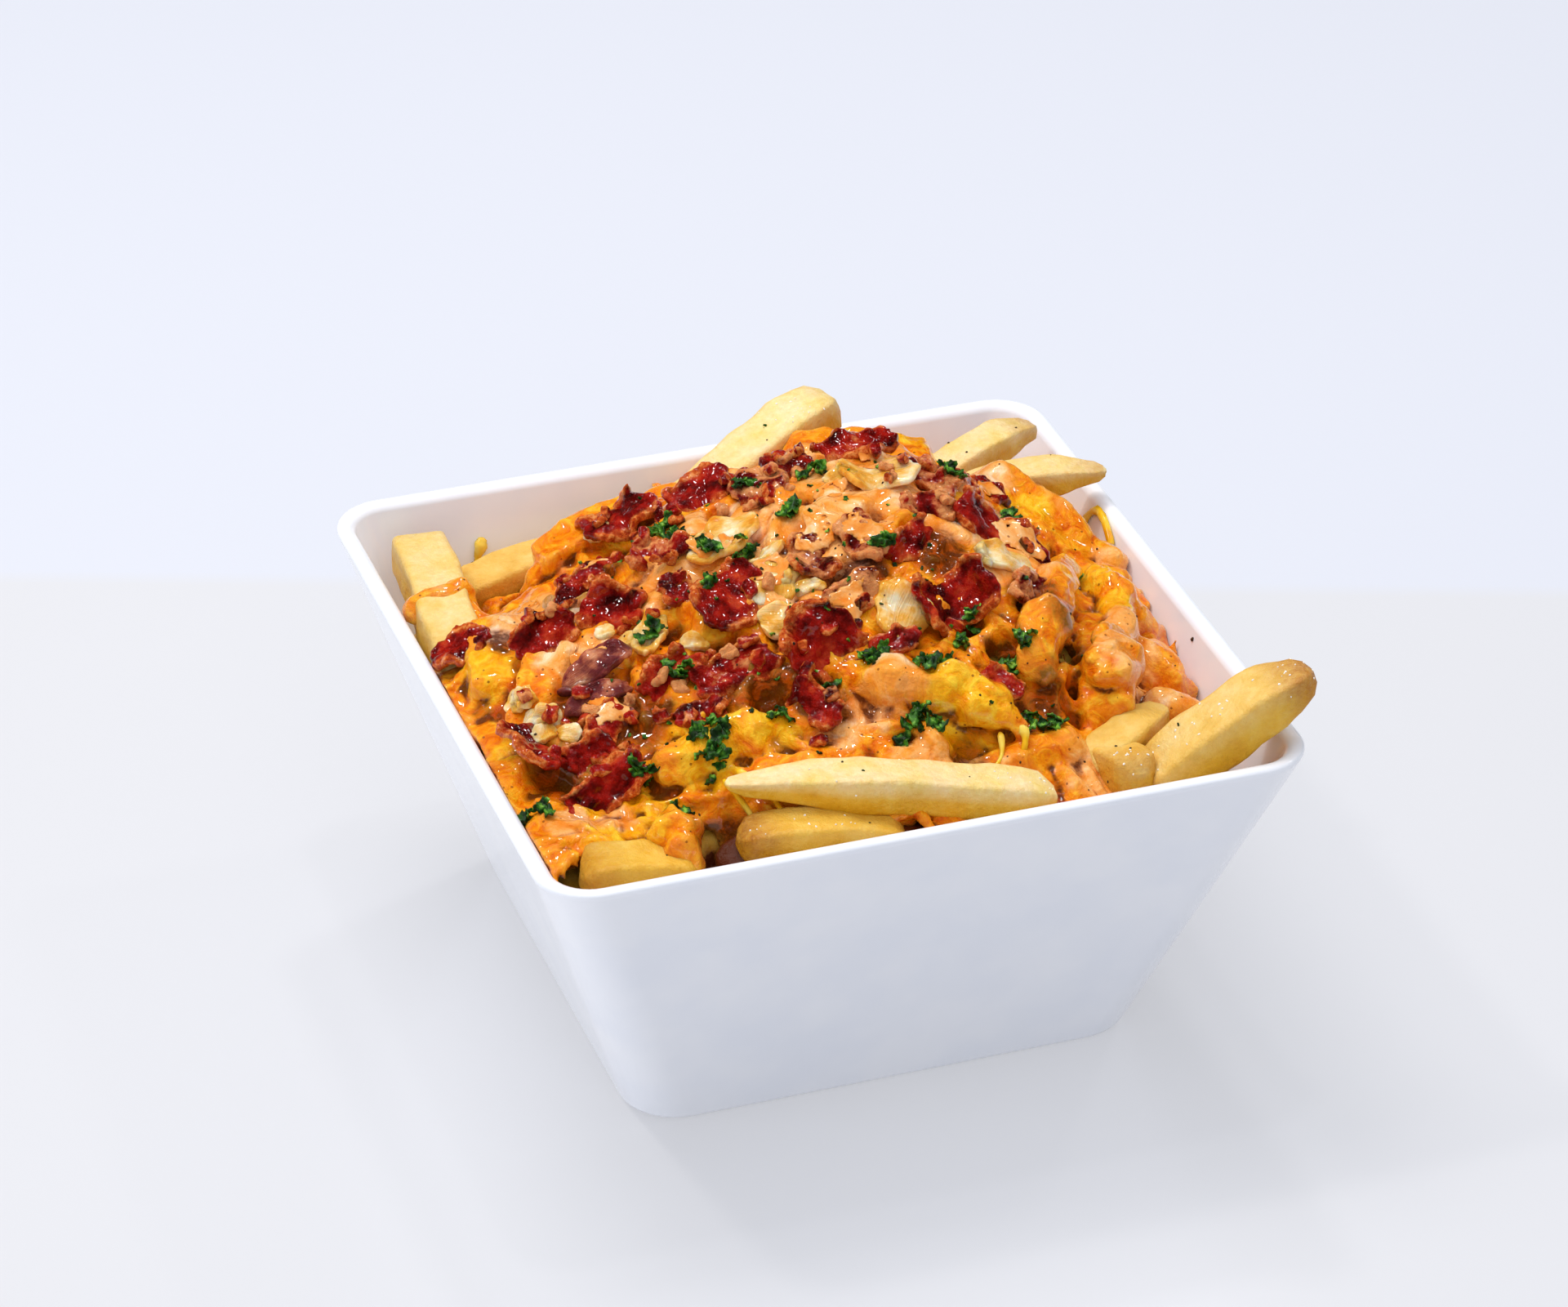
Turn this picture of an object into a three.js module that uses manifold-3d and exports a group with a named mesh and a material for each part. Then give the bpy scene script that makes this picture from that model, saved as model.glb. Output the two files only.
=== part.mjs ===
// Loaded french fries in a square melamine bowl: fries heaped in the bowl, a blanket of melted
// cheddar and pink sauce over them, and bacon bits, onion and parsley on top.
// Millimetres, +Z up. The origin is the middle of the bowl's foot, and -Y is the bowl's front.
import * as THREE from 'three';
import { mergeVertices } from 'three/addons/utils/BufferGeometryUtils.js';
import Module from 'manifold-3d';

// The bowl
const rimSide = 160;
const footSide = 108;
const bowlHeight = 76;
const wall = 3.8;
const floorThickness = 5;
const footCorner = 12;
const rimCorner = 10;
const footFillet = 2;
const lipRound = 1.8;
const hollowFillet = 9;
const cornerSteps = 4;

// The heap that fills it
const peak = { x: 21, y: 12, z: 102 };
const heapEdge = 72;
const rightSag = 10;
const backLeftSag = 15;
const heapReach = 73;
const blanket = 4.5;
const blanketCells = 23;
const coreCells = 11;
const clearance = 0.35;

// Typical pieces
const fryWidth = 10.5;
const baconThickness = 2.2;
const onionThickness = 2.4;
const chipSink = 1.4;
const parsleyThickness = 0.9;

const finishes = {
  melamine: { color: 0xf4f6fa, roughness: 0.22 },
  potato: { color: 0xe8cc6c, roughness: 0.6 },
  cheddar: { color: 0xe99a3c, roughness: 0.3 },
  bacon: { color: 0x8e1f1c, roughness: 0.35 },
  onion: { color: 0xe6c98a, roughness: 0.3 },
};

const wasm = await Module();
wasm.setup();

// Joining and cutting

function solidFrom(geometry) {
  const bare = geometry.clone();
  bare.deleteAttribute('normal');
  bare.deleteAttribute('uv');
  const merged = mergeVertices(bare, 1e-4);
  const vertProperties = new Float32Array(merged.attributes.position.array);
  const triVerts = new Uint32Array(merged.index.array);
  return new wasm.Manifold(new wasm.Mesh({ numProp: 3, vertProperties, triVerts }));
}

function largestBody(solid) {
  const bodies = solid.decompose();
  return bodies.reduce((a, b) => (b.volume() > a.volume() ? b : a));
}

function meet(a, b) {
  return [0, 1, 2].every((i) => a.min[i] < b.max[i] && b.min[i] < a.max[i]);
}

function cutBy(solid, cutters) {
  const box = solid.boundingBox();
  const near = cutters.filter((cutter) => meet(box, cutter.boundingBox()));
  const cut = near.reduce((rest, cutter) => rest.subtract(cutter), solid);
  return near.length ? largestBody(cut.simplify(0.08)) : solid;
}

function meshOf(solid, name, finish, at = new THREE.Vector3()) {
  const { vertProperties, triVerts } = solid.getMesh();
  const geometry = new THREE.BufferGeometry();
  geometry.setAttribute('position', new THREE.BufferAttribute(vertProperties.slice(), 3));
  geometry.setIndex(new THREE.BufferAttribute(triVerts.slice(), 1));
  geometry.translate(-at.x, -at.y, -at.z);
  geometry.computeVertexNormals();
  const mesh = new THREE.Mesh(geometry, new THREE.MeshStandardMaterial(finishes[finish]));
  mesh.name = name;
  mesh.position.copy(at);
  return mesh;
}

// Bowl: rounded squares stacked along a profile of { half, z, corner }

function roundedSquareStack(profile) {
  const perQuarter = cornerSteps + 1;
  const points = profile.map(({ half, z }) => new THREE.Vector2(half, z));
  const geometry = new THREE.LatheGeometry(points, 4 * perQuarter);
  const position = geometry.attributes.position;
  for (let i = 0; i < position.count; i += 1) {
    const { half, z, corner } = profile[i % profile.length];
    const step = Math.floor(i / profile.length) % (4 * perQuarter);
    const quarter = Math.floor(step / perQuarter);
    const angle = (Math.PI / 2) * (quarter + (step % perQuarter) / cornerSteps);
    const side = Math.PI / 4 + (Math.PI / 2) * quarter;
    const centre = half - corner;
    const x = Math.sign(Math.cos(side)) * centre + corner * Math.cos(angle);
    const y = Math.sign(Math.sin(side)) * centre + corner * Math.sin(angle);
    position.setXYZ(i, x, y, z);
  }
  const solid = solidFrom(geometry);
  return solid.volume() > 0 ? solid : solidFrom(turnedInsideOut(geometry));
}

function turnedInsideOut(geometry) {
  const turned = geometry.clone();
  const index = turned.index.array;
  for (let i = 0; i < index.length; i += 3) {
    [index[i + 1], index[i + 2]] = [index[i + 2], index[i + 1]];
  }
  return turned;
}

function outerHalf(z) {
  return footSide / 2 + ((rimSide - footSide) / 2) * Math.min(z / bowlHeight, 1);
}

function outerCorner(z) {
  return footCorner + (rimCorner - footCorner) * Math.min(z / bowlHeight, 1);
}

function ring(half, z, corner) {
  return { half, z, corner: Math.max(Math.min(corner, half), 0) };
}

function bowlSolid(grow = 0) {
  const outer = (z) => outerHalf(z) + grow;
  const inner = (z) => outerHalf(z) - wall - grow;
  const innerCorner = (z) => outerCorner(z) - wall;
  const top = bowlHeight + grow;
  const floor = floorThickness + grow;
  const quarter = [0, 1 / 3, 2 / 3, 1].map((part) => (part * Math.PI) / 2);
  const foot = quarter.slice(0, 3).map((a) => {
    const half = outer(0) - footFillet * (1 - Math.sin(a));
    return ring(half, footFillet * (1 - Math.cos(a)) - grow, footCorner);
  });
  const lipOut = quarter.map((a) => {
    const z = top - lipRound * (1 - Math.sin(a));
    return ring(outer(top) - lipRound * (1 - Math.cos(a)), z, rimCorner);
  });
  const lipIn = [
    ring(inner(top) + lipRound * 0.4, top - 0.1, innerCorner(top)),
    ring(inner(top), top - lipRound * 0.6, innerCorner(top)),
  ];
  const bend = quarter.map((a) => {
    const z = floor + hollowFillet * (1 - Math.cos(Math.PI / 2 - a));
    const half = inner(floor + hollowFillet) - hollowFillet * (1 - Math.sin(Math.PI / 2 - a));
    return ring(half, z, innerCorner(z));
  });
  return roundedSquareStack([ring(0, -grow, 0), ...foot, ...lipOut, ...lipIn, ...bend, ring(0, floor, 0)]);
}

// The room inside the bowl, carried straight up above the rim
function hollowSolid(above) {
  const inner = (z) => outerHalf(z) - wall - clearance;
  const floor = floorThickness + clearance;
  return roundedSquareStack([
    ring(0, floor, 0),
    ring(inner(floor) - hollowFillet * 0.7, floor, rimCorner - wall),
    ring(inner(floor + hollowFillet) - 0.6, floor + hollowFillet, rimCorner - wall),
    ring(inner(bowlHeight), bowlHeight, rimCorner - wall),
    ring(inner(bowlHeight), above, rimCorner - wall),
    ring(0, above, 0),
  ]);
}

// Heap: a lopsided mound, lowest in the back left corner and along the right wall

function heapTop(x, y) {
  const { smoothstep } = THREE.MathUtils;
  const sagRight = rightSag * smoothstep(x, 0, 70);
  const sagBackLeft = backLeftSag * smoothstep(y, 5, 65) * smoothstep(-x, 0, 60);
  const edge = heapEdge - sagRight - sagBackLeft;
  const across = Math.abs(x - peak.x) / (heapReach + (x < peak.x ? peak.x : -peak.x));
  const along = Math.abs(y - peak.y) / (heapReach + (y < peak.y ? peak.y : -peak.y));
  const out = Math.min(Math.hypot(across ** 1.2, along ** 1.2) ** (1 / 1.2), 1);
  return edge + (peak.z - edge) * (1 - out ** 1.35);
}

function moundBelow(topOf, cells) {
  const side = rimSide - 4;
  const geometry = new THREE.BoxGeometry(side, side, 1, cells, cells, 1);
  const position = geometry.attributes.position;
  for (let i = 0; i < position.count; i += 1) {
    const x = position.getX(i);
    const y = position.getY(i);
    position.setZ(i, position.getZ(i) > 0 ? topOf(x, y) : 0);
  }
  return solidFrom(geometry);
}

// Low bumps and creases of the melted blanket
function lumps(x, y) {
  const long = Math.sin(x / 7.5 + Math.sin(y / 11) * 1.7) * Math.cos(y / 9.5 - x / 23);
  const short = Math.sin(y / 4.3 + x / 6.1) * Math.sin(x / 3.9 - 1.3);
  return 1.5 * long + 0.5 * short;
}

function meltTop(x, y) {
  return heapTop(x, y) + lumps(x, y);
}

// A fry: a bar of square section with softened corners, its ends drawn in

function fry({ from, to, width = fryWidth, depth = fryWidth * 0.9, tip = 0.75, grow = 0 }) {
  const start = new THREE.Vector3(...from);
  const end = new THREE.Vector3(...to);
  const along = end.clone().sub(start);
  const length = along.length() + 2 * grow;
  const stations = [0, 0.06, 0.5, 0.9, 1];
  const geometry = new THREE.CylinderGeometry(1, 1, 1, 8, stations.length - 1, false, Math.PI / 8);
  const position = geometry.attributes.position;
  const soften = (v) => Math.sign(v) * Math.abs(v) ** 0.55;
  for (let i = 0; i < position.count; i += 1) {
    const station = Math.round((position.getY(i) + 0.5) * (stations.length - 1));
    const t = stations[station];
    const drawn = [0.7, 0.96, 1, 0.55 + 0.4 * tip, tip * 0.8][station];
    const bow = width * 0.12 * Math.sin(Math.PI * t);
    position.setXYZ(
      i,
      soften(position.getX(i)) * drawn * (width / 2 + grow),
      soften(position.getZ(i)) * drawn * (depth / 2 + grow) + bow,
      (t - 0.5) * length,
    );
  }
  const middle = start.clone().add(end).multiplyScalar(0.5);
  geometry.applyMatrix4(new THREE.Matrix4().lookAt(end, start, new THREE.Vector3(0, 0, 1)));
  geometry.translate(middle.x, middle.y, middle.z);
  const solid = solidFrom(geometry);
  return solid.volume() > 0 ? solid : solidFrom(turnedInsideOut(geometry));
}

// Bare fries that show round the heap, as the ends of each fry's middle line
const bareFries = [
  { from: [-68.2, 12, 68], to: [-64, 64.5, 71.5], width: 11.5, tip: 1 },
  { from: [-58, 56, 62], to: [-14, 64, 65] },
  { from: [-12, 51, 73], to: [28, 64, 91], width: 12.5, tip: 0.8 },
  { from: [40, 44, 74], to: [71.5, 57, 80.5], width: 9, depth: 8, tip: 0.45 },
  { from: [46, 39, 76], to: [77.5, 31.5, 82.5], width: 9.5, depth: 7, tip: 0.4 },
  { from: [49, -65, 66], to: [81, -68, 89.5], width: 13, depth: 10, tip: 0.55 },
  { from: [44, -54, 67], to: [45, -69, 72.5], width: 9.5, tip: 0.9 },
  { from: [27, -69.3, 71.5], to: [-36, -57, 80], width: 10, depth: 8.5, tip: 0.4 },
  { from: [-4, -69, 68], to: [-37, -65, 72], width: 10.5, depth: 9.5, tip: 0.8 },
  { from: [-46, -67.5, 67.5], to: [-68.5, -64, 69], width: 11, tip: 1 },
  { from: [-30, -53, 61], to: [-52, -58, 60], width: 10 },
  { from: [-26, -62, 59], to: [-46, -66, 56], width: 10 },
  { from: [38, -60, 69], to: [59, -47, 73], width: 9, tip: 0.4 },
  { from: [14, 64, 63], to: [56, 66, 60], width: 10 },
  { from: [65.5, 40, 60], to: [66.5, 4, 59], width: 10 },
];

// Fries under the melt, whose forms stand out of the blanket: each end is [x, y, rise], with the
// rise of the fry's middle line over the heap
const coatedFries = [
  { from: [-22, 40, 1], to: [-46, 37, 4], width: 11, tip: 1 },
  { from: [60, 8, 0.5], to: [37, -44, 0.5], width: 11 },
  { from: [60, -12, 0], to: [45, -50, 0.5], width: 12, tip: 1 },
  { from: [50, 6, -1], to: [70, -8, -1], width: 12, tip: 1 },
  { from: [52, -18, -1], to: [67, -31, -0.5], width: 11, tip: 1 },
  { from: [50, -34, -1], to: [64, -45, -0.5], width: 11, tip: 1 },
  { from: [50, -50, -1], to: [63, -58, -1], width: 10, tip: 0.9 },
  { from: [8, -61, -1], to: [40, -60, 0], width: 12, tip: 1 },
  { from: [-6, -37, 0], to: [25, -53, 1], width: 14, tip: 0.9 },
  { from: [-46, -42, 0], to: [-20, -42, 0], width: 14, tip: 0.9 },
  { from: [-52, 4, 0], to: [-66, -18, 0], width: 11, tip: 0.9 },
  { from: [-60, 24, -0.5], to: [-67, -2, -1], width: 10, tip: 0.9 },
  { from: [-46, 8, -3], to: [-56, -28, -3], width: 12, tip: 1 },
  { from: [48, 34, 0], to: [66, 10, 0.5], width: 13, tip: 0.9 },
  { from: [12, 50, 0], to: [44, 44, 0], width: 12, tip: 0.9 },
  { from: [-36, 54, 0], to: [-6, 56, -1], width: 11, tip: 0.9 },
];

// The dark pocket at the front, where the blanket has slid off the fries below
const pocket = { at: [-42, -68, 70], radii: [12, 12, 9] };

// Toppings: thin wavy chips set on the heap, named by where they lie

function chip({ at, long, wide, thick, curl = 0, ruffle = 0, rise = 0, grow = 0, ...turned }) {
  const { turn = 0, pitch = 0, bank = 0 } = turned;
  const geometry = new THREE.BoxGeometry(long + 2 * grow, wide + 2 * grow, thick + 2 * grow, 4, 2, 1);
  const position = geometry.attributes.position;
  const seed = at[0] * 0.7 + at[1] * 1.3;
  for (let i = 0; i < position.count; i += 1) {
    const x = position.getX(i);
    const y = position.getY(i);
    const z = position.getZ(i);
    const edge = (2 * y) / wide;
    const taper = 1 - 0.22 * Math.abs((2 * x) / long) ** 3 + 0.1 * Math.sin(seed + (9 * x) / long);
    const wave = ruffle * Math.sin((7 * x) / long + seed) * (0.25 + 0.75 * edge * edge);
    const angle = (curl * x) / long;
    const radius = curl ? long / curl : 0;
    const bent = curl ? radius * Math.sin(angle) : x;
    const lifted = curl ? radius * (1 - Math.cos(angle)) : 0;
    position.setXYZ(
      i,
      bent - z * Math.sin(angle) + edge * 0.06 * long * Math.sin(seed * 2),
      y * taper,
      lifted + wave + z * Math.cos(angle),
    );
  }
  const tilt = new THREE.Euler(
    THREE.MathUtils.degToRad(bank),
    THREE.MathUtils.degToRad(pitch),
    THREE.MathUtils.degToRad(turn),
    'ZYX',
  );
  const [x, y] = at;
  geometry.applyMatrix4(new THREE.Matrix4().makeRotationFromEuler(tilt));
  geometry.applyQuaternion(lean(x, y));
  geometry.translate(x, y, heapTop(x, y));
  geometry.translate(0, 0, rise - chipSink - grow - lowestOver(meltTop, position));
  return solidFrom(geometry);
}

function lowestOver(surface, position) {
  const gaps = Array.from({ length: position.count }, (_, i) => {
    return position.getZ(i) - surface(position.getX(i), position.getY(i));
  });
  return Math.min(...gaps);
}

// The turn from upright to the heap's own slope at a point
function lean(x, y) {
  const step = 3;
  const slopeX = (heapTop(x + step, y) - heapTop(x - step, y)) / (2 * step);
  const slopeY = (heapTop(x, y + step) - heapTop(x, y - step)) / (2 * step);
  const up = new THREE.Vector3(-slopeX, -slopeY, 1).normalize();
  return new THREE.Quaternion().setFromUnitVectors(new THREE.Vector3(0, 0, 1), up);
}

const baconBits = [
  { at: [22, 26], turn: 5, pitch: -8, bank: 25, long: 18, wide: 9, curl: 0.8, ruffle: 1.4 },
  { at: [8, 27], turn: -20, pitch: 10, bank: 30, long: 10, wide: 8, curl: 0.5, ruffle: 0.8 },
  { at: [31, 15], turn: -50, bank: 40, long: 15, wide: 6, curl: 0.4, ruffle: 0.7 },
  { at: [21, -23], turn: 20, pitch: 5, bank: 10, long: 25, wide: 14, curl: 2.7, ruffle: 1.1 },
  { at: [-8, -30], turn: 35, pitch: -10, bank: 35, long: 16, wide: 15, curl: 0.5, ruffle: 0.9 },
  { at: [-20, -11], turn: 40, pitch: 8, bank: 20, long: 17, wide: 15, curl: 0.7, ruffle: 1.2 },
  { at: [40, -3], turn: -20, bank: 25, long: 22, wide: 11, curl: 0.6, ruffle: 1 },
  { at: [-12, 31], turn: 10, bank: 30, long: 15, wide: 12, curl: 1.5, ruffle: 1.2 },
  { at: [-2, 22], turn: -15, bank: 15, long: 12, wide: 12, curl: 0.6, ruffle: 0.6 },
  { at: [-29, 34], turn: 5, bank: 20, long: 16, wide: 12, curl: 0.5, ruffle: 0.9 },
  { at: [-40, 5], turn: -50, pitch: 10, bank: 20, long: 14, wide: 12, curl: 0.7, ruffle: 0.8 },
  { at: [-55, 2], turn: 15, bank: 35, long: 13, wide: 10, curl: 0.6, ruffle: 1.1 },
  { at: [-69, 14], turn: -25, bank: 12, long: 13, wide: 10, curl: 0.2, ruffle: 0.5 },
  { at: [-66, -27], turn: -75, bank: -35, long: 16, wide: 11, curl: 0.5, ruffle: 0.7 },
  { at: [-56, -42], turn: 15, bank: 20, long: 20, wide: 9, curl: 0.9, ruffle: 0.6 },
  { at: [-57, -33], turn: 10, bank: 30, long: 11, wide: 8, curl: 0.5, ruffle: 0.5 },
  { at: [-52, -27], turn: 40, bank: 25, long: 11, wide: 7, curl: 0.4, ruffle: 0.5, rise: 3 },
  { at: [-27, 13], turn: -35, bank: 15, long: 13, wide: 8, curl: 0.8, ruffle: 0.9 },
  { at: [-28, 0], turn: 80, bank: 20, long: 12, wide: 7, curl: 0.5, ruffle: 0.5 },
  { at: [-25, -26], turn: 5, bank: 15, long: 18, wide: 10, curl: 0.4, ruffle: 0.6 },
  { at: [-37, -22], turn: 25, bank: 25, long: 14, wide: 9, curl: 0.5, ruffle: 0.6 },
  { at: [-34, -33], turn: 0, bank: 20, long: 10, wide: 6, curl: 0.5, ruffle: 0.8 },
  { at: [-13, -42], turn: -60, bank: 15, long: 13, wide: 8, curl: 1.2, ruffle: 0.8 },
  { at: [-42, 19], turn: 35, bank: 30, long: 18, wide: 6, curl: 0.2, ruffle: 0.4 },
  { at: [2, -20], turn: 15, bank: 20, long: 14, wide: 8, curl: 0.6, ruffle: 0.7 },
  { at: [-1, -6], turn: 75, bank: 10, long: 13, wide: 10, curl: 0.5, ruffle: 0.6 },
  { at: [10, -6], turn: -70, bank: -10, long: 14, wide: 10, curl: 0.5, ruffle: 0.6 },
  { at: [19, -8], turn: 30, bank: 35, long: 13, wide: 7, curl: 0.3, ruffle: 0.4 },
  { at: [26, 0], turn: -10, bank: 20, long: 12, wide: 6, curl: 0.5, ruffle: 0.5 },
  { at: [38, 14], turn: -10, bank: 20, long: 11, wide: 9, curl: 0.3, ruffle: 0.6 },
  { at: [47, 20], turn: -70, bank: 15, long: 10, wide: 7, curl: 0.8, ruffle: 0.7 },
  { at: [7, -32], turn: 5, bank: 15, long: 11, wide: 6, curl: 0.3, ruffle: 0.5 },
  { at: [39, -22], turn: 60, bank: 20, long: 11, wide: 7, curl: 0.3, ruffle: 0.5 },
  { at: [25, -45], turn: -45, bank: 10, long: 9, wide: 6, curl: 0.2, ruffle: 0.3 },
];

const onionPieces = [
  { at: [20, 13], turn: -15, long: 17, wide: 13, curl: 0.9, ruffle: 1.1 },
  { at: [-15, 9], turn: 10, long: 17, wide: 12, curl: 0.5, ruffle: 0.8 },
  { at: [-11, -9], turn: 70, bank: 12, long: 13, wide: 12, curl: -0.9, ruffle: 0.5 },
  { at: [11, -25], turn: 55, bank: 10, long: 15, wide: 12, curl: 0.7, ruffle: 1.2 },
  { at: [-12, -20], turn: -30, bank: 10, long: 11, wide: 8, curl: 0.5, ruffle: 0.8 },
  { at: [-36, -8], turn: 60, bank: 5, long: 12, wide: 7, curl: 0.5, ruffle: 0.4 },
  { at: [-49, -12], turn: 5, bank: 10, long: 16, wide: 7, curl: -0.9, ruffle: 0.5, rise: 3 },
  { at: [-51, -19.5], turn: 0, bank: 15, long: 15, wide: 6, curl: -0.9, ruffle: 0.4, rise: 3 },
  { at: [38, -13], turn: -10, bank: 5, long: 15, wide: 8, curl: -0.5, ruffle: 0.4 },
  { at: [-45, 12], turn: 20, bank: 5, long: 10, wide: 6, curl: 0.3, ruffle: 0.3 },
];

// Parsley leaves big enough to see from a step away, as [x, y, turn, size]
const parsleyLeaves = [
  [-24, 22, 40, 6], [-1, 8, 10, 6], [48, 8, 0, 7], [2, -37, 20, 6], [11, -42, 50, 7],
  [31, -38, -30, 7], [31, -52, -70, 8], [5, -52, -50, 11], [-35, -43, 10, 7], [-37, -48, 60, 6],
  [-71, -45, 50, 7], [-49, -43, 20, 5],
];

function parsleyLeaf([x, y, turn, size]) {
  const geometry = new THREE.CylinderGeometry(size / 2, size / 2, parsleyThickness, 8, 1);
  geometry.rotateX(Math.PI / 2);
  const position = geometry.attributes.position;
  for (let i = 0; i < position.count; i += 1) {
    const px = position.getX(i);
    const py = position.getY(i);
    const lobe = 0.72 + 0.28 * Math.cos(4 * Math.atan2(py, px));
    position.setXY(i, px * lobe * 1.15, py * lobe * 0.85);
  }
  geometry.rotateZ(THREE.MathUtils.degToRad(turn));
  geometry.applyQuaternion(lean(x, y));
  geometry.translate(x, y, meltTop(x, y) + parsleyThickness * 0.3);
  return solidFrom(geometry);
}

// Building

const bowl = bowlSolid();
const bowlRoom = bowlSolid(clearance);
const hollow = hollowSolid(peak.z + 20);

const coreTop = (x, y) => heapTop(x, y) - blanket;
const core = hollow.intersect(moundBelow(coreTop, coreCells));
const bare = bareFries.map((made) => fry(made));
const friesWhole = bare.reduce((all, one) => all.add(one), core);
const fries = cutBy(friesWhole, [bowlRoom]);
const bareRoom = bareFries.map((made) => fry({ ...made, grow: clearance }));

const melt = hollow.intersect(moundBelow(meltTop, blanketCells));
const overHeap = ([x, y, rise]) => [x, y, heapTop(x, y) + rise];
const coatedFry = ({ from, to, ...made }) => fry({ from: overHeap(from), to: overHeap(to), ...made });
const coated = coatedFries.map((made) => hollow.intersect(coatedFry(made)));
const leaves = parsleyLeaves.map(parsleyLeaf);
const cover = [...coated, ...leaves].reduce((all, one) => all.add(one), melt);
const coreRoom = moundBelow((x, y) => coreTop(x, y) + clearance, coreCells);
const hole = new THREE.SphereGeometry(1, 8, 6);
hole.scale(...pocket.radii);
hole.translate(...pocket.at);
const cheese = cutBy(cover, [coreRoom, solidFrom(hole), bowlRoom, ...bareRoom]);
const meltRoom = moundBelow((x, y) => meltTop(x, y) + 1.5 * clearance, blanketCells);
const coatedRoom = coatedFries.map((made) => coatedFry({ ...made, grow: clearance }));

// The toppings that lie highest come first, because each is cut round those before it
const toppings = [
  ...onionPieces.slice(0, 1).map((made) => ({ kind: 'onion', thick: onionThickness, ...made })),
  ...baconBits.map((made) => ({ kind: 'bacon', thick: baconThickness, ...made })),
  ...onionPieces.slice(1).map((made) => ({ kind: 'onion', thick: onionThickness, ...made })),
];
const under = [meltRoom, ...coatedRoom, bowlRoom, ...bareRoom];
const placed = [];
const counts = { bacon: 0, onion: 0 };
const toppingMeshes = toppings.map((made) => {
  const solid = cutBy(chip(made), [...under, ...placed]);
  placed.push(chip({ ...made, grow: clearance }));
  counts[made.kind] += 1;
  const name = `${made.kind}_${String(counts[made.kind]).padStart(2, '0')}`;
  const [x, y] = made.at;
  return meshOf(solid, name, made.kind, new THREE.Vector3(x, y, heapTop(x, y)));
});

const portion = new THREE.Group();
portion.add(meshOf(bowl, 'bowl', 'melamine'));
portion.add(meshOf(fries, 'fries', 'potato'));
portion.add(meshOf(cheese, 'cheese', 'cheddar'));
const scattered = new THREE.Group();
scattered.add(...toppingMeshes);
portion.add(scattered);

export default portion;
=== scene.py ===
# Loaded french fries in a square melamine bowl: bare fries round the edge, melted cheddar and
# pink sauce over the heap, bacon bits, onion and parsley on top
import math
import random

import bpy
import numpy
from mathutils import Euler, Matrix, Vector, noise
from mathutils.bvhtree import BVHTree


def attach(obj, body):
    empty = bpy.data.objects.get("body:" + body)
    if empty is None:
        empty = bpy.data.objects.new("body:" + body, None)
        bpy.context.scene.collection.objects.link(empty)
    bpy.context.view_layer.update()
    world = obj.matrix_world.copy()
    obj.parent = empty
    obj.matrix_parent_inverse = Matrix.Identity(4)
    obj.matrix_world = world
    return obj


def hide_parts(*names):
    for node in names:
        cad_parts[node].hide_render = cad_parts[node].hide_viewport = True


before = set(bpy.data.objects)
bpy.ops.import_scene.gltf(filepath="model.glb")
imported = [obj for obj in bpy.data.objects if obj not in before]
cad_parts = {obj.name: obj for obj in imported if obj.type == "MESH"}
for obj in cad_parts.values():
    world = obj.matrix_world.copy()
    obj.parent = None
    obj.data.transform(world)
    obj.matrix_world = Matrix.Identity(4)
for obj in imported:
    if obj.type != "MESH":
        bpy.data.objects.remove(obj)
bpy.ops.object.select_all(action="DESELECT")
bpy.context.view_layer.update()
mm = 0.001  # the places below are in millimetres, as the solids' are


# Small helpers

def linear(code, alpha=1.0):
    parts = [int(code[i:i + 2], 16) / 255 for i in (1, 3, 5)]
    bent = [c / 12.92 if c <= 0.04045 else ((c + 0.055) / 1.055) ** 2.4 for c in parts]
    return (*bent, alpha)


def setInputs(node, inputs):
    # a value is set, an output is linked, and a node stands for its first output
    for socket, value in inputs.items():
        if isinstance(value, bpy.types.Node):
            value = value.outputs[0]
        if isinstance(value, bpy.types.NodeSocket):
            node.id_data.links.new(value, node.inputs[socket])
        else:
            node.inputs[socket].default_value = value


def addNode(tree, kind, inputs=None, **settings):
    node = tree.nodes.new("ShaderNode" + kind)
    for name, value in settings.items():
        setattr(node, name, value)
    setInputs(node, inputs or {})
    return node


def startMaterial(name):
    # with it come its nodes, its shader, and the place on the piece that its patterns read
    material = bpy.data.materials.new(name)
    material.use_nodes = True
    tree = material.node_tree
    spot = addNode(tree, "TexCoord").outputs["Object"]
    return material, tree, tree.nodes["Principled BSDF"], spot


def setRamp(node, stops):
    ramp = node.color_ramp
    while len(ramp.elements) < len(stops):
        ramp.elements.new(0.5)
    for element, (place, colour) in zip(ramp.elements, stops):
        element.position = place
        element.color = linear(colour)
    return node


def pickOnly(*pieces):
    bpy.ops.object.select_all(action="DESELECT")
    for piece in pieces:
        piece.select_set(True)
    bpy.context.view_layer.objects.active = pieces[0]


def finishModifier(piece, kind, **settings):
    pickOnly(piece)
    modifier = piece.modifiers.new(kind.title(), kind)
    for name, value in settings.items():
        setattr(modifier, name, value)
    bpy.ops.object.modifier_apply(modifier=modifier.name)


def joinAs(name, pieces):
    pickOnly(*pieces)
    if len(pieces) > 1:
        bpy.ops.object.join()
    whole = bpy.context.active_object
    whole.name = whole.data.name = name
    return whole


def copyOf(blank, name):
    made = bpy.data.objects.new(name, blank.data.copy())
    bpy.context.scene.collection.objects.link(made)
    return made


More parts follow.
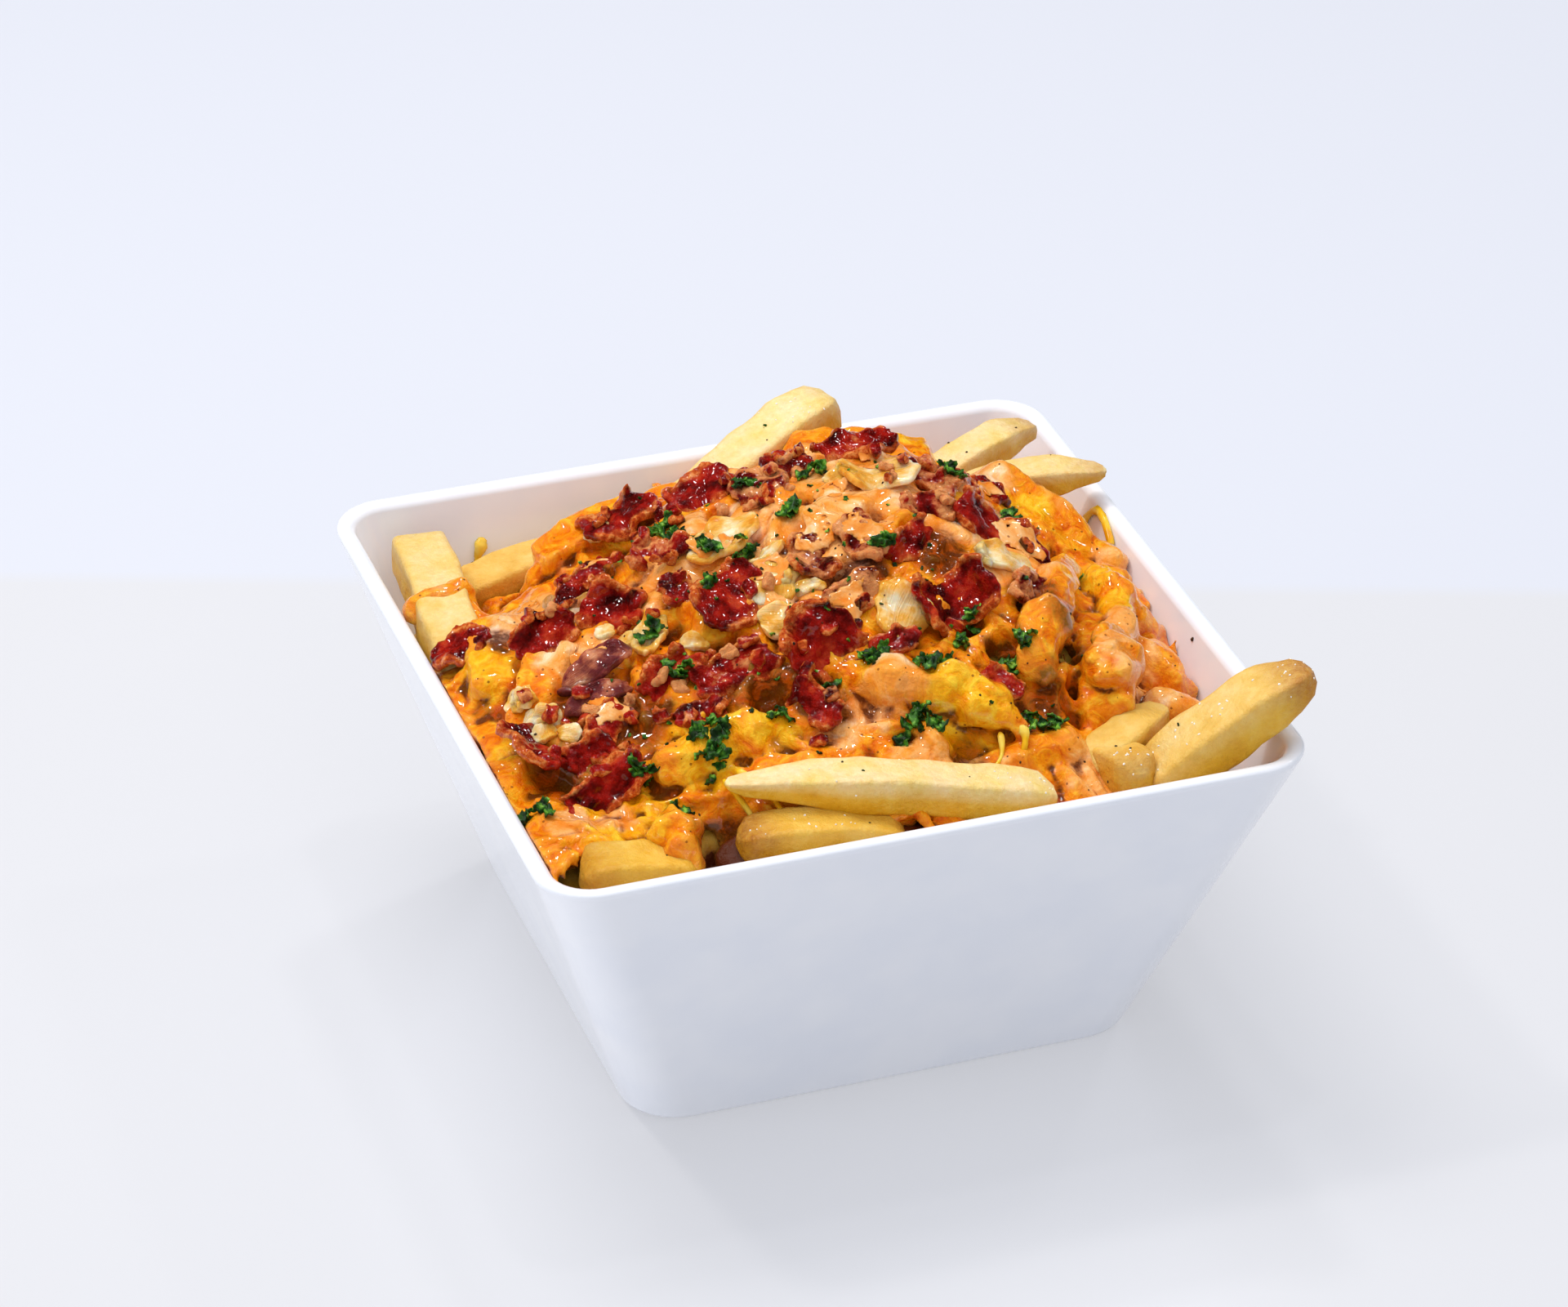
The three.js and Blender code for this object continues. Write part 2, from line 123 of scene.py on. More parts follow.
def selectFaces(piece, rule):
    bpy.ops.object.mode_set(mode="OBJECT")
    for part in (*piece.data.vertices, *piece.data.edges):
        part.select = False
    for face in piece.data.polygons:
        face.select = rule(face.center, face.normal)
    bpy.context.tool_settings.mesh_select_mode = (False, False, True)
    bpy.ops.object.mode_set(mode="EDIT")


def selectEdges(piece, rule):
    bpy.ops.object.mode_set(mode="OBJECT")
    for part in (*piece.data.vertices, *piece.data.polygons):
        part.select = False
    places = [v.co for v in piece.data.vertices]
    for edge in piece.data.edges:
        edge.select = rule(*(places[i] for i in edge.vertices))
    bpy.context.tool_settings.mesh_select_mode = (False, True, False)
    bpy.ops.object.mode_set(mode="EDIT")


def deleteVertices(piece, lost):
    for part in (*piece.data.edges, *piece.data.polygons):
        part.select = False
    for vertex, goes in zip(piece.data.vertices, lost):
        vertex.select = goes
    bpy.context.tool_settings.mesh_select_mode = (True, False, False)
    bpy.ops.object.mode_set(mode="EDIT")
    bpy.ops.mesh.delete(type="VERT")
    bpy.ops.object.mode_set(mode="OBJECT")


def makeTube(name, sides, rings):
    # a straight tube of radius 1 and length 1, ringed for bending
    bpy.ops.mesh.primitive_cylinder_add(vertices=sides, radius=1, depth=1)
    tube = bpy.context.active_object
    tube.name = name
    selectEdges(tube, lambda a, b: abs(a.z - b.z) > 0.5)
    bpy.ops.mesh.subdivide(number_cuts=rings)
    bpy.ops.object.mode_set(mode="OBJECT")
    return tube


def paint(piece, name, colours):
    # four values at each vertex, for the piece's material to read
    attribute = piece.data.attributes.new(name, "FLOAT_COLOR", "POINT")
    attribute.data.foreach_set("color", [value for colour in colours for value in colour])


def coverWith(piece, material):
    pickOnly(piece)
    bpy.ops.object.shade_smooth()
    piece.data.materials.clear()
    piece.data.materials.append(material)


def landOn(surface, x, y):
    # where something let fall at x, y meets the surface, in metres, and which way it faces there
    aboveAll = 140
    return surface.ray_cast(Vector((x, y, aboveAll)) * mm, Vector((0, 0, -1)))[:2]


def surfaceOf(*pieces):
    points, faces = [], []
    for piece in pieces:
        first = len(points)
        points += [v.co.copy() for v in piece.data.vertices]
        faces += [tuple(first + i for i in p.vertices) for p in piece.data.polygons]
    return BVHTree.FromPolygons(points, faces)


def smoothStep(value, low, high):
    t = min(max((value - low) / (high - low), 0), 1)
    return t * t * (3 - 2 * t)


def wobble(x, y, z):
    # smooth noise between about -1 and 1, the same at each run
    return noise.noise(Vector((x, y, z)))


def sunkBy(piece, rounds):
    # how far each vertex lies below its surroundings, in mm, and above them where negative
    mesh = piece.data
    count = len(mesh.vertices)
    places, normals = numpy.empty(3 * count), numpy.empty(3 * count)
    mesh.vertices.foreach_get("co", places)
    mesh.vertices.foreach_get("normal", normals)
    ends = numpy.empty(2 * len(mesh.edges), dtype=numpy.int64)
    mesh.edges.foreach_get("vertices", ends)
    places, normals, ends = places.reshape(-1, 3), normals.reshape(-1, 3), ends.reshape(-1, 2)
    here = numpy.concatenate([ends[:, 0], ends[:, 1]])
    there = numpy.concatenate([ends[:, 1], ends[:, 0]])
    around = numpy.maximum(numpy.bincount(here, minlength=count), 1)
    level = places.copy()
    for _ in range(rounds):
        sums = [numpy.bincount(here, weights=level[there, i], minlength=count) for i in range(3)]
        level = numpy.stack(sums, axis=1) / around[:, None]
    return ((level - places) * normals).sum(axis=1) / mm


heap = {
    "peak": (21, 12, 102),
    "edge": 72,
    "rightSag": 10,
    "backLeftSag": 15,
    "reach": 73,
    "blanket": 4.5,
}


def heapTop(x, y):
    px, py, pz = heap["peak"]
    edge = heap["edge"] - heap["rightSag"] * smoothStep(x, 0, 70)
    edge -= heap["backLeftSag"] * smoothStep(y, 5, 65) * smoothStep(-x, 0, 60)
    across = abs(x - px) / (heap["reach"] + (px if x < px else -px))
    along = abs(y - py) / (heap["reach"] + (py if y < py else -py))
    out = min((across ** 2.4 + along ** 2.4) ** (1 / 2.4), 1)
    return edge + (pz - edge) * (1 - out ** 1.35)


def lumps(x, y):
    long = math.sin(x / 7.5 + math.sin(y / 11) * 1.7) * math.cos(y / 9.5 - x / 23)
    short = math.sin(y / 4.3 + x / 6.1) * math.sin(x / 3.9 - 1.3)
    return 1.5 * long + 0.5 * short


def meltTop(x, y):
    return heapTop(x, y) + lumps(x, y)


def lean(x, y):
    step = 3
    slopeX = (heapTop(x + step, y) - heapTop(x - step, y)) / (2 * step)
    slopeY = (heapTop(x, y + step) - heapTop(x, y - step)) / (2 * step)
    return Vector((0, 0, 1)).rotation_difference(Vector((-slopeX, -slopeY, 1)).normalized())


# Bowl: moulded melamine, a square that flares from foot to rim

bowlShape = {
    "foot": 108,
    "rim": 160,
    "height": 76,
    "corner": 11,
    "wall": 3.8,
    "floor": 5,
    "footRound": 2.2,
    "lipRound": 1.7,
    "floorRound": 3,
    "inset": 4.15,  # the wall and a hair more, for what lies against it
}


def hollowHalf(z):
    # half the hollow's width at a height
    high = bowlShape["height"]
    flare = (bowlShape["rim"] - bowlShape["foot"]) / 2
    return bowlShape["foot"] / 2 + flare * min(z, high) / high - bowlShape["inset"]


def keepInside(piece):
    # what would stand in the bowl's wall is pressed flat against it
    for vertex in piece.data.vertices:
        x, y, z = vertex.co / mm
        if z < bowlShape["height"] + 0.2:
            half = hollowHalf(z)
            x, y = min(max(x, -half), half), min(max(y, -half), half)
            vertex.co = Vector((x, y, z)) * mm


def makeBowl(shape):
    bpy.ops.mesh.primitive_cube_add(size=mm, location=(0, 0, shape["height"] / 2 * mm))
    bowl = bpy.context.active_object
    bowl.scale = (shape["foot"], shape["foot"], shape["height"])
    bpy.ops.object.transform_apply(location=True, rotation=False, scale=True)
    top = shape["height"] * mm
    selectFaces(bowl, lambda c, n: n.z > 0.9)
    flare = shape["rim"] / shape["foot"]
    bpy.ops.transform.resize(value=(flare, flare, 1))
    selectEdges(bowl, lambda a, b: abs(a.z - b.z) > 0.01)
    bpy.ops.mesh.bevel(offset=shape["corner"] * mm, segments=10, affect="EDGES")
    selectFaces(bowl, lambda c, n: n.z > 0.9)
    bpy.ops.mesh.inset(thickness=shape["wall"] * mm)
    depth = shape["height"] - shape["floor"]
    innerRim = shape["rim"] / 2 - shape["wall"]
    innerFloor = innerRim - (shape["rim"] - shape["foot"]) / 2 * depth / shape["height"]
    bpy.ops.mesh.extrude_region_move(TRANSFORM_OT_translate={"value": (0, 0, -depth * mm)})
    narrow = innerFloor / innerRim
    bpy.ops.transform.resize(value=(narrow, narrow, 1))
    selectEdges(bowl, lambda a, b: a.z < 1e-6 and b.z < 1e-6)
    bpy.ops.mesh.bevel(offset=shape["footRound"] * mm, segments=4, affect="EDGES")
    floor = shape["floor"] * mm
    selectEdges(bowl, lambda a, b: abs(a.z - floor) < 1e-6 and abs(b.z - floor) < 1e-6)
    bpy.ops.mesh.bevel(offset=shape["floorRound"] * mm, segments=4, affect="EDGES")
    # both loops of the lip, without the short spokes between them
    selectEdges(bowl, lambda a, b: abs(a.z - top) < 1e-6 and abs(b.z - top) < 1e-6 and
                not 3 * mm < (a - b).length < 8 * mm)
    bpy.ops.mesh.bevel(offset=shape["lipRound"] * mm, segments=5, affect="EDGES")
    bpy.ops.object.mode_set(mode="OBJECT")
    bowl.name = bowl.data.name = "melamineBowl"
    pickOnly(bowl)
    bpy.ops.object.shade_smooth_by_angle(angle=math.radians(35))
    finishModifier(bowl, "WEIGHTED_NORMAL", keep_sharp=True, weight=100)
    return bowl


def makeMelamine():
    # Melamine resin, pressed hot in a polished die: dense white, cool, with a clear even gloss
    material, tree, shader, spot = startMaterial("white pressed melamine")
    cloud = addNode(tree, "TexNoise", {"Vector": spot, "Scale": 60, "Detail": 2})
    tone = setRamp(addNode(tree, "ValToRGB", {"Fac": cloud}), [(0.35, "#EEF1F8"), (0.65, "#F3F5FA")])
    ripple = addNode(tree, "TexNoise", {"Vector": spot, "Scale": 35, "Detail": 1})
    wear = addNode(tree, "MapRange", {"Value": ripple, "To Min": 0.16, "To Max": 0.24})
    wave = addNode(tree, "Bump", {"Height": ripple, "Strength": 0.05, "Distance": 0.0006})
    setInputs(shader, {
        "Base Color": tone, "Roughness": wear, "IOR": 1.5, "Normal": wave,
        "Coat Weight": 0.3, "Coat Roughness": 0.06,
    })
    return material


bowl = makeBowl(bowlShape)
bowl.data.materials.append(makeMelamine())
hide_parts("bowl")
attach(bowl, "root")
print("bowl", len(bowl.data.polygons))


# Fries: cut potato bars, fried pale yellow with golden edges and browned ends

# paleLitTop: how much each fry's top is painted pale, as painted light
bareFries = [
    {"from": (-68.2, 12, 68), "to": (-64, 64.5, 71.5), "width": 11.5, "tip": 1, "paleLitTop": 0.7},
    {"from": (-58, 56, 62), "to": (-14, 64, 65)},
    {"from": (-12, 51, 73), "to": (28, 64, 91), "width": 12, "depth": 9.5, "tip": 0.8, "brown": 0.25,
     "paleLitTop": 1},
    {"from": (40, 44, 74), "to": (72, 57, 80.5), "width": 8.5, "depth": 7.5, "tip": 0.45, "brown": 0.5,
     "arch": 0.3, "paleLitTop": 0.9},
    {"from": (46, 39, 76), "to": (78, 31.5, 82), "width": 9, "depth": 6.5, "tip": 0.35, "brown": 0.4,
     "arch": 0.25, "paleLitTop": 0.8},
    {"from": (49, -65, 66), "to": (81, -68, 89.5), "width": 13, "depth": 10, "tip": 0.55, "brown": 0.8,
     "paleLitTop": 0.5},
    {"from": (44, -54, 67), "to": (45, -69, 72.5), "width": 9.5, "tip": 0.9, "brown": 0.5},
    {"from": (27, -69.3, 71.5), "to": (-36.5, -57, 80.5), "width": 10, "depth": 8, "tip": 0.34, "brown": 0.2,
     "paleLitTop": 1},
    {"from": (-4, -69, 68), "to": (-37, -65, 72), "width": 10.5, "depth": 9, "tip": 0.75, "brown": 0.8,
     "paleLitTop": 0.15},
    {"from": (-46, -67.5, 67.5), "to": (-68.5, -64, 69), "width": 11, "tip": 1, "brown": 0.5, "paleLitTop": 0.1},
    # these two lie in the dark hollow and are painted dark, as painted shade
    {"from": (-30, -53, 57), "to": (-52, -58, 56), "width": 10, "stainAndShade": 1.5},
    {"from": (-26, -62, 54), "to": (-46, -66, 51), "width": 10, "stainAndShade": 1.5},
    {"from": (38, -60, 69), "to": (59, -47, 73), "width": 9, "tip": 0.4},
    {"from": (14, 64, 63), "to": (56, 66, 60), "width": 10},
    {"from": (65.5, 40, 60), "to": (66.5, 4, 59), "width": 10},
]


def makeFryBlank():
    # one bar a unit long and wide: corners bevelled, ringed for bending, its sides cut small for the crust
    bpy.ops.mesh.primitive_cube_add(size=1)
    blank = bpy.context.active_object
    selectEdges(blank, lambda a, b: abs(a.z - b.z) > 0.5)
    bpy.ops.mesh.bevel(offset=0.13, segments=3, affect="EDGES")
    selectEdges(blank, lambda a, b: abs(a.z - b.z) > 0.5)
    bpy.ops.mesh.subdivide(number_cuts=19)
    selectEdges(blank, lambda a, b: abs(a.z - b.z) < 1e-4 and (a - b).length > 0.5)
    bpy.ops.mesh.subdivide(number_cuts=3)
    for end in (0.5, -0.5):
        selectFaces(blank, lambda c, n: abs(c.z - end) < 1e-4 and abs(n.z) > 0.9)
        for shrink in (0.8, 0.7, 0.5):
            bpy.ops.mesh.extrude_region_move(TRANSFORM_OT_translate={"value": (0, 0, 0)})
            bpy.ops.transform.resize(value=(shrink, shrink, 1))
    bpy.ops.object.mode_set(mode="OBJECT")
    return blank


def makeFry(blank, name, fry, seed):
    start, end = Vector(fry["from"]), Vector(fry["to"])
    width = fry.get("width", 10.5)
    depth = fry.get("depth", width * 0.9)
    tip, arch = fry.get("tip", 0.75), fry.get("arch", 0.12)
    length = (end - start).length
    # the fry's flat side faces up, as the solids' does
    along = (end - start).normalized()
    side = along.cross(Vector((0, 0, 1))).normalized()
    basis = Matrix((side, side.cross(along), along)).transposed()
    piece = copyOf(blank, name)
    tints = []
    for vertex in piece.data.vertices:
        x, y, z = vertex.co
        t = z + 0.5
        fromEnd = min(t, 1 - t) * length
        taper = smoothStep(1 - t, 0, 0.5 - 0.34 * tip)
        drawn = tip + (1 - tip) * taper if t > 0.5 else 0.7 + 0.3 * smoothStep(t, 0, 0.1)
        cap = math.sqrt(max(1 - (1 - min(fromEnd / (0.17 * width), 1)) ** 2, 0.3))
        onCap = abs(z) > 0.499
        bulge = max(0.4 - max(abs(x), abs(y)), 0) * 1.8 if onCap else 0
        bow = 0.9 * wobble(t * length / 17 + seed, seed * 3.1, 0)
        sag = 0.7 * wobble(t * length / 14 - seed, 7.7, seed)
        pinch = cap * (1 + 0.1 * wobble(t * length / 9, seed, x * 2))
        hollow = 1 - 0.07 * (1 - min(abs(x) * 2.4, 1)) if abs(y) > 0.49 else 1
        px = x * width * drawn ** 0.6 * pinch + bow
        py = y * depth * drawn * pinch * hollow + width * arch * math.sin(math.pi * t) + sag
        pz = z * length + math.copysign(bulge, z)
        out = Vector((x, y, 0.6 * z if onCap else 0)).normalized()
        rough = 0.22 * wobble(px / 1.5, py / 1.5, pz / 1.5 + seed * 9)
        rough += 0.35 * wobble(px / 4.5 + seed, py / 4.5, pz / 4.5)
        vertex.co = ((start + end) / 2 + basis @ (Vector((px, py, pz)) + out * rough)) * mm
        corner = smoothStep(math.hypot(max(abs(x) - 0.32, 0), max(abs(y) - 0.32, 0)), 0.08, 0.22)
        browned = max(smoothStep(t, 1 - 13 / length, 1), 0.7 * smoothStep(1 - t, 1 - 6 / length, 1))
        # the upward faces are marked to be painted pale, as painted light on the top
        lit = smoothStep((basis @ out).z, -0.1, 0.8)
        # brown holds the browned tips, and the painted shade of fries in the dark hollow
        brown = max(browned * fry.get("brown", 0.15), fry.get("stainAndShade", 0))
        tints.append((corner, brown, lit * fry.get("paleLitTop", 0.3), 1))
    paint(piece, "fried", tints)
    return piece


def makeFried():
    # Fried potato: a thin dry crust over soft flesh, pale yellow, gold along the cut corners
    material, tree, shader, spot = startMaterial("fried potato")
    fried = addNode(tree, "Attribute", attribute_name="fried")
    split = addNode(tree, "SeparateColor", {"Color": fried})
    # cloudy flesh, patches of about 6 mm: the tops are painted pale as painted light, and the sides keep the
    # deeper oily yellow as painted shade
    cloud = addNode(tree, "TexNoise", {"Vector": spot, "Scale": 160, "Detail": 4, "Roughness": 0.6})
    oilyAndShadedSide = setRamp(addNode(tree, "ValToRGB", {"Fac": cloud}),
                   [(0.3, "#D2940E"), (0.5, "#E4B028"), (0.72, "#EECC56")])
    paleLitTop = setRamp(addNode(tree, "ValToRGB", {"Fac": cloud}),
                  [(0.3, "#E8CC72"), (0.5, "#F2E0A0"), (0.72, "#FAF2CC")])
    flesh = addNode(tree, "MixRGB", {"Fac": split.outputs["Blue"], "Color1": oilyAndShadedSide, "Color2": paleLitTop})
    # browning frays the edge mask with grain of about 1.5 mm
    grain = addNode(tree, "TexNoise", {"Vector": spot, "Scale": 620, "Detail": 3, "Roughness": 0.7})
    frayed = addNode(tree, "Math", {0: grain, 1: cloud}, operation="ADD")
    edgeMask = addNode(tree, "Math", {0: split.outputs["Red"], 1: frayed}, operation="MULTIPLY")
    edgeSoft = addNode(tree, "MapRange",
                       {"Value": edgeMask, "From Min": 0.5, "From Max": 1.3, "To Max": 0.65})
    gold = addNode(tree, "MixRGB", {"Fac": edgeSoft, "Color1": flesh, "Color2": linear("#D99A1C")})
    # blisters about 3 mm apart, a few of them browned
    blister = addNode(tree, "TexVoronoi", {"Vector": spot, "Scale": 330, "Randomness": 1})
    rough = addNode(tree, "Math", {0: blister, 1: 0.8, 2: grain}, operation="MULTIPLY_ADD")
    scorch = addNode(tree, "MapRange", {"Value": rough, "From Min": 0.58, "From Max": 0.4, "To Max": 0.1})
    toasted = addNode(tree, "MixRGB", {"Fac": scorch, "Color1": gold, "Color2": linear("#CC921C")})
    # browned tips, and near black where fries in the dark hollow take painted shade
    tipAndShadeMask = addNode(tree, "Math", {0: split.outputs["Green"], 1: frayed}, operation="MULTIPLY")
    tipAndShadeSoft = addNode(tree, "MapRange", {"Value": tipAndShadeMask, "From Min": 0.1, "From Max": 1.1})
    charAndShade = setRamp(addNode(tree, "ValToRGB", {"Fac": tipAndShadeSoft}),
                   [(0, "#B8721C"), (0.75, "#A05814"), (1, "#5A240A")])
    brown = addNode(tree, "MixRGB", {"Fac": tipAndShadeSoft, "Color1": toasted, "Color2": charAndShade})
    # blistered crust, pits of about 0.8 mm
    pits = addNode(tree, "TexNoise", {"Vector": spot, "Scale": 1300, "Detail": 3, "Roughness": 0.65})
    both = addNode(tree, "Math", {0: rough, 1: 1.5, 2: pits}, operation="MULTIPLY_ADD")
    crust = addNode(tree, "Bump", {"Height": both, "Strength": 0.4, "Distance": 0.0006})
    setInputs(shader, {
        "Base Color": brown, "Roughness": 0.36, "IOR": 1.45, "Specular IOR Level": 0.5, "Normal": crust,
        "Subsurface Weight": 0.12, "Subsurface Radius": (0.0022, 0.0013, 0.0005), "Subsurface Scale": 1,
    })
    return material


# Core of the heap: packed fries that only show through gaps

coreShape = {"cells": 72, "under": 1.2, "bottom": 14}

# dark hollows that reach down between the fries, painted darker in the core as painted shade, as (x, y,
# radius, depth)
dips = [(-38, -64, 9, 13), (-47, -63, 7, 5), (-28, -60, 6, 8), (-54, 52, 6, 5), (52, -58, 4, 4),
        (-62, 40, 4, 4), (10, -66, 4, 4)]


def inHollow(u, v, half, corner=7):
    x, y = u * half, v * half
    dx, dy = abs(x) - (half - corner), abs(y) - (half - corner)
    if dx > 0 and dy > 0:
        pull = max(dx, dy) / math.hypot(dx, dy)
        x = math.copysign(half - corner + dx * pull, x)
        y = math.copysign(half - corner + dy * pull, y)
    return x, y


def dentAt(dents, x, y):
    return sum(deep * (1 - smoothStep(math.hypot(x - px, y - py) / wide, 0.35, 1.1)) for px, py, wide,
               deep in dents if abs(x - px) < 1.2 * wide and abs(y - py) < 1.2 * wide)


def makeCore(shape):
    bpy.ops.mesh.primitive_grid_add(x_subdivisions=shape["cells"], y_subdivisions=shape["cells"], size=2)
    core = bpy.context.active_object
    for vertex in core.data.vertices:
        u, v = vertex.co.x, vertex.co.y
        z = 70
        for _ in range(4):
            x, y = inHollow(u, v, hollowHalf(z))
            z = heapTop(x, y) - heap["blanket"] - shape["under"]
        z += 1.1 * wobble(x / 8, y / 8, 3) - 0.8 - dentAt(dips, x, y)
        vertex.co = Vector((x, y, z)) * mm
    bpy.ops.object.mode_set(mode="EDIT")
    bpy.ops.mesh.select_all(action="SELECT")
    bpy.ops.mesh.extrude_region_move(TRANSFORM_OT_translate={"value": (0, 0, 0)})
    bpy.ops.object.mode_set(mode="OBJECT")
    low = shape["bottom"]
    for vertex in core.data.vertices:
        if vertex.select:
            squeeze = hollowHalf(low) / hollowHalf(vertex.co.z / mm)
            vertex.co = Vector((vertex.co.x * squeeze, vertex.co.y * squeeze, low * mm))
    bpy.ops.object.mode_set(mode="EDIT")
    bpy.ops.mesh.dissolve_limited(angle_limit=math.radians(1))
    bpy.ops.mesh.select_all(action="SELECT")
    bpy.ops.mesh.normals_make_consistent(inside=False)
    bpy.ops.object.mode_set(mode="OBJECT")
    # painted shade: darker down in the hollows
    depths = [dentAt(dips, vertex.co.x / mm, vertex.co.y / mm) for vertex in core.data.vertices]
    paint(core, "fried", [(0.3, 0.25 + 1.3 * smoothStep(depth, 0.3, 3), 0.1, 1) for depth in depths])
    return core


fryBlank = makeFryBlank()
fries = [makeFry(fryBlank, f"fry{i}", fry, 1.7 * i + 0.3) for i, fry in enumerate(bareFries)]

# fries that lie half sunk along the walls and under the melt
sunk = {
    "count": 46,
    "width": (9, 11),
    "length": (24, 46),
    "along": 52,
    "reach": 67,
    "outFront": (54, 66),
    "outBack": (59, 68),
    "turn": 0.5,
    "under": (4, 7),
    "cavity": (-38, -62),  # the dark hollow at the front left, how far round it no fries lie, and how far its fries are painted dark as painted shade
    "clear": 18,
    "stainedAndShaded": 40,
}
rng = random.Random(11)
for i in range(sunk["count"]):
    side = i % 4
    runs = rng.uniform(-sunk["along"], sunk["along"])
    out = rng.uniform(*sunk["outBack" if side in (1, 2) else "outFront"])
    x, y = [(runs, -out), (out, runs), (runs, out), (-out, runs)][side]
    fromCavity = math.hypot(x - sunk["cavity"][0], y - sunk["cavity"][1])
    if fromCavity < sunk["clear"]:
        continue
    turn = rng.uniform(-sunk["turn"], sunk["turn"]) + (math.pi / 2 if side in (1, 3) else 0)
    half = rng.uniform(*sunk["length"]) / 2
    step = Vector((math.cos(turn), math.sin(turn))) * half
    ends = []
    for sign in (-1, 1):
        ex, ey = (min(max(c, -sunk["reach"]), sunk["reach"]) for c in (x + sign * step.x, y + sign * step.y))
        under = heapTop(ex, ey) - heap["blanket"] - rng.uniform(*sunk["under"])
        ends.append((ex, ey, under - dentAt(dips, x, y)))
    # fries near the dark hollow are painted dark, and the other sunk ones a little, as painted shade
    low = {"from": ends[0], "to": ends[1], "width": rng.uniform(*sunk["width"]), "brown": rng.uniform(0, 0.5),
           "stainAndShade": 1.5 if fromCavity < sunk["stainedAndShaded"] else 0.15}
    fries.append(makeFry(fryBlank, f"sunk{i}", low, 31.3 + i))
bpy.data.objects.remove(fryBlank)

loaf = joinAs("friedPotatoes", [makeCore(coreShape), *fries])
keepInside(loaf)
coverWith(loaf, makeFried())
finishModifier(loaf, "SMOOTH", factor=0.5, iterations=1)
finishModifier(loaf, "WEIGHTED_NORMAL", weight=30)
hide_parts("fries")
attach(loaf, "root")
print("fries", sum(len(p.vertices) - 2 for p in loaf.data.polygons))


# Melt: cheddar and pink sauce in one blanket, over fries whose forms stand out of it

# each end is [x, y, rise of the fry's middle line over the heap]
coatedFries = [
    {"from": (-22, 40, 0), "to": (-46, 36, 3), "width": 9.5},
    {"from": (59, -16, 0), "to": (45, -50, 0.5), "width": 11},
    {"from": (50, -50, -1), "to": (63, -58, -1), "width": 10},
    {"from": (-52, 4, -1), "to": (-66, -18, -2), "width": 9.5},
    {"from": (-60, 24, -0.5), "to": (-67, -2, -1), "width": 10},
    {"from": (-46, 8, -4), "to": (-56, -28, -5.5), "width": 9.5},
    {"from": (48, 34, 0), "to": (66, 10, 0.5), "width": 13},
    {"from": (12, 50, 0), "to": (44, 44, 0), "width": 12},
    {"from": (-36, 52, -5), "to": (-6, 54, -5), "width": 10},
]

melt = {
    "cells": 124,
    "thick": 4.6,
    "voxel": 0.74,
    "keep": 0.62,
    "shreds": 260,
    "shredWidth": (1.5, 2.5),
    "shredLength": (10, 24),
    "ridge": 0.5,
}

# gaps where fries show through the blanket, as (x, y, radius)
bareGaps = [
    (-66, 62, 17), (-50, 66, 16), (-30, 66, 12), (-66, 44, 9), (-12, 69, 8), (-72, 30, 5), (-42, -68, 12),
    (-31, -66, 8), (-20, -70, 8), (-4, -72, 6), (12, -73, 5), (71, -62, 8), (60, -68, 8), (48, -72, 6),
    (73, -48, 5), (74, -20, 3), (70, 62, 8), (52, 72, 6), (73, 40, 4), (30, 74, 5), (44, -32, 3.5),
    (40, -24, 3), (29, -36, 2.5), (-64, -69, 8), (-54, -70, 7),
]

# dark hollows between the coated fries, painted darker in the melt as painted shade, as (x, y, radius, depth)
pits = [
    (40, -23, 4.5, 5), (29, -35, 4, 4.5), (52, -20, 3, 6), (49, -28, 3.2, 9), (46, -35, 3.2, 10),
    (42, -43, 3, 9), (39, -49, 2.5, 6), (14, -58, 6, 5), (-25, -21, 6, 5), (-20, -35, 5, 5),
    (1, -12, 4.5, 5), (24, -27, 5, 4.5), (-10, -37, 3.5, 4), (-52, -14, 3, 2), (-54, -24, 5, 2),
    (60, -34, 4, 3), (-28, 48, 13, 3.5), (-8, 54, 12, 3), (-50, 40, 10, 2), (-12, 20, 4, 4),
    (3, 12, 4, 4), (14, 0, 3.5, 4), (-32, -10, 4, 4), (-21, 1, 3, 3), (30, 12, 3, 3), (36, 22, 3.5, 4),
    (-3, 27, 3, 3), (-38, -62, 8, 7), (52, -40, 3, 3), (-31, 26, 4, 3), (60, 26, 4, 2),
]

# where the pink sauce lies, as (x, y, radius)
sauceFields = [
    (16, 14, 18), (4, 0, 14), (-9, -6, 13), (-19, 4, 11), (-31, 5, 8), (-11, 14, 10), (-55, 18, 8),
    (-48, 19, 7), (-52, -7, 8), (-51, -24, 7), (-4, -45, 6), (3, -44, 6), (3, -59, 7), (-10, -49, 5),
    (39, -13, 9), (57, -42, 10), (72, 6, 6), (62, -47, 9), (38, -63, 8), (-7, -22, 9), (-61, 13, 6),
    (-56, -50, 5), (-67, -49, 6), (11, -62, 6), (21, -66, 7), (60, -26, 7), (30, -2, 8), (46, 4, 6),
    (22, 40, 8), (-2, 34, 7), (50, 30, 6), (-40, 48, 6), (10, 60, 6), (40, 60, 7), (66, 24, 5),
]

# where the melt shows fresh yellow cheese, as (x, y, radius)
yellowFields = [
    (-66, 4, 7), (-35, -38, 8), (15, -50, 8), (-51, -51, 8), (62, -2, 7), (60, -16, 6), (-60, -51, 7),
    (-36, -45, 8), (-24, -46, 6), (-48, 58, 6), (22, -52, 5), (-58, -58, 9), (40, 52, 8), (56, 20, 5),
    (0, 66, 7), (-70, -20, 5), (64, 44, 6),
]

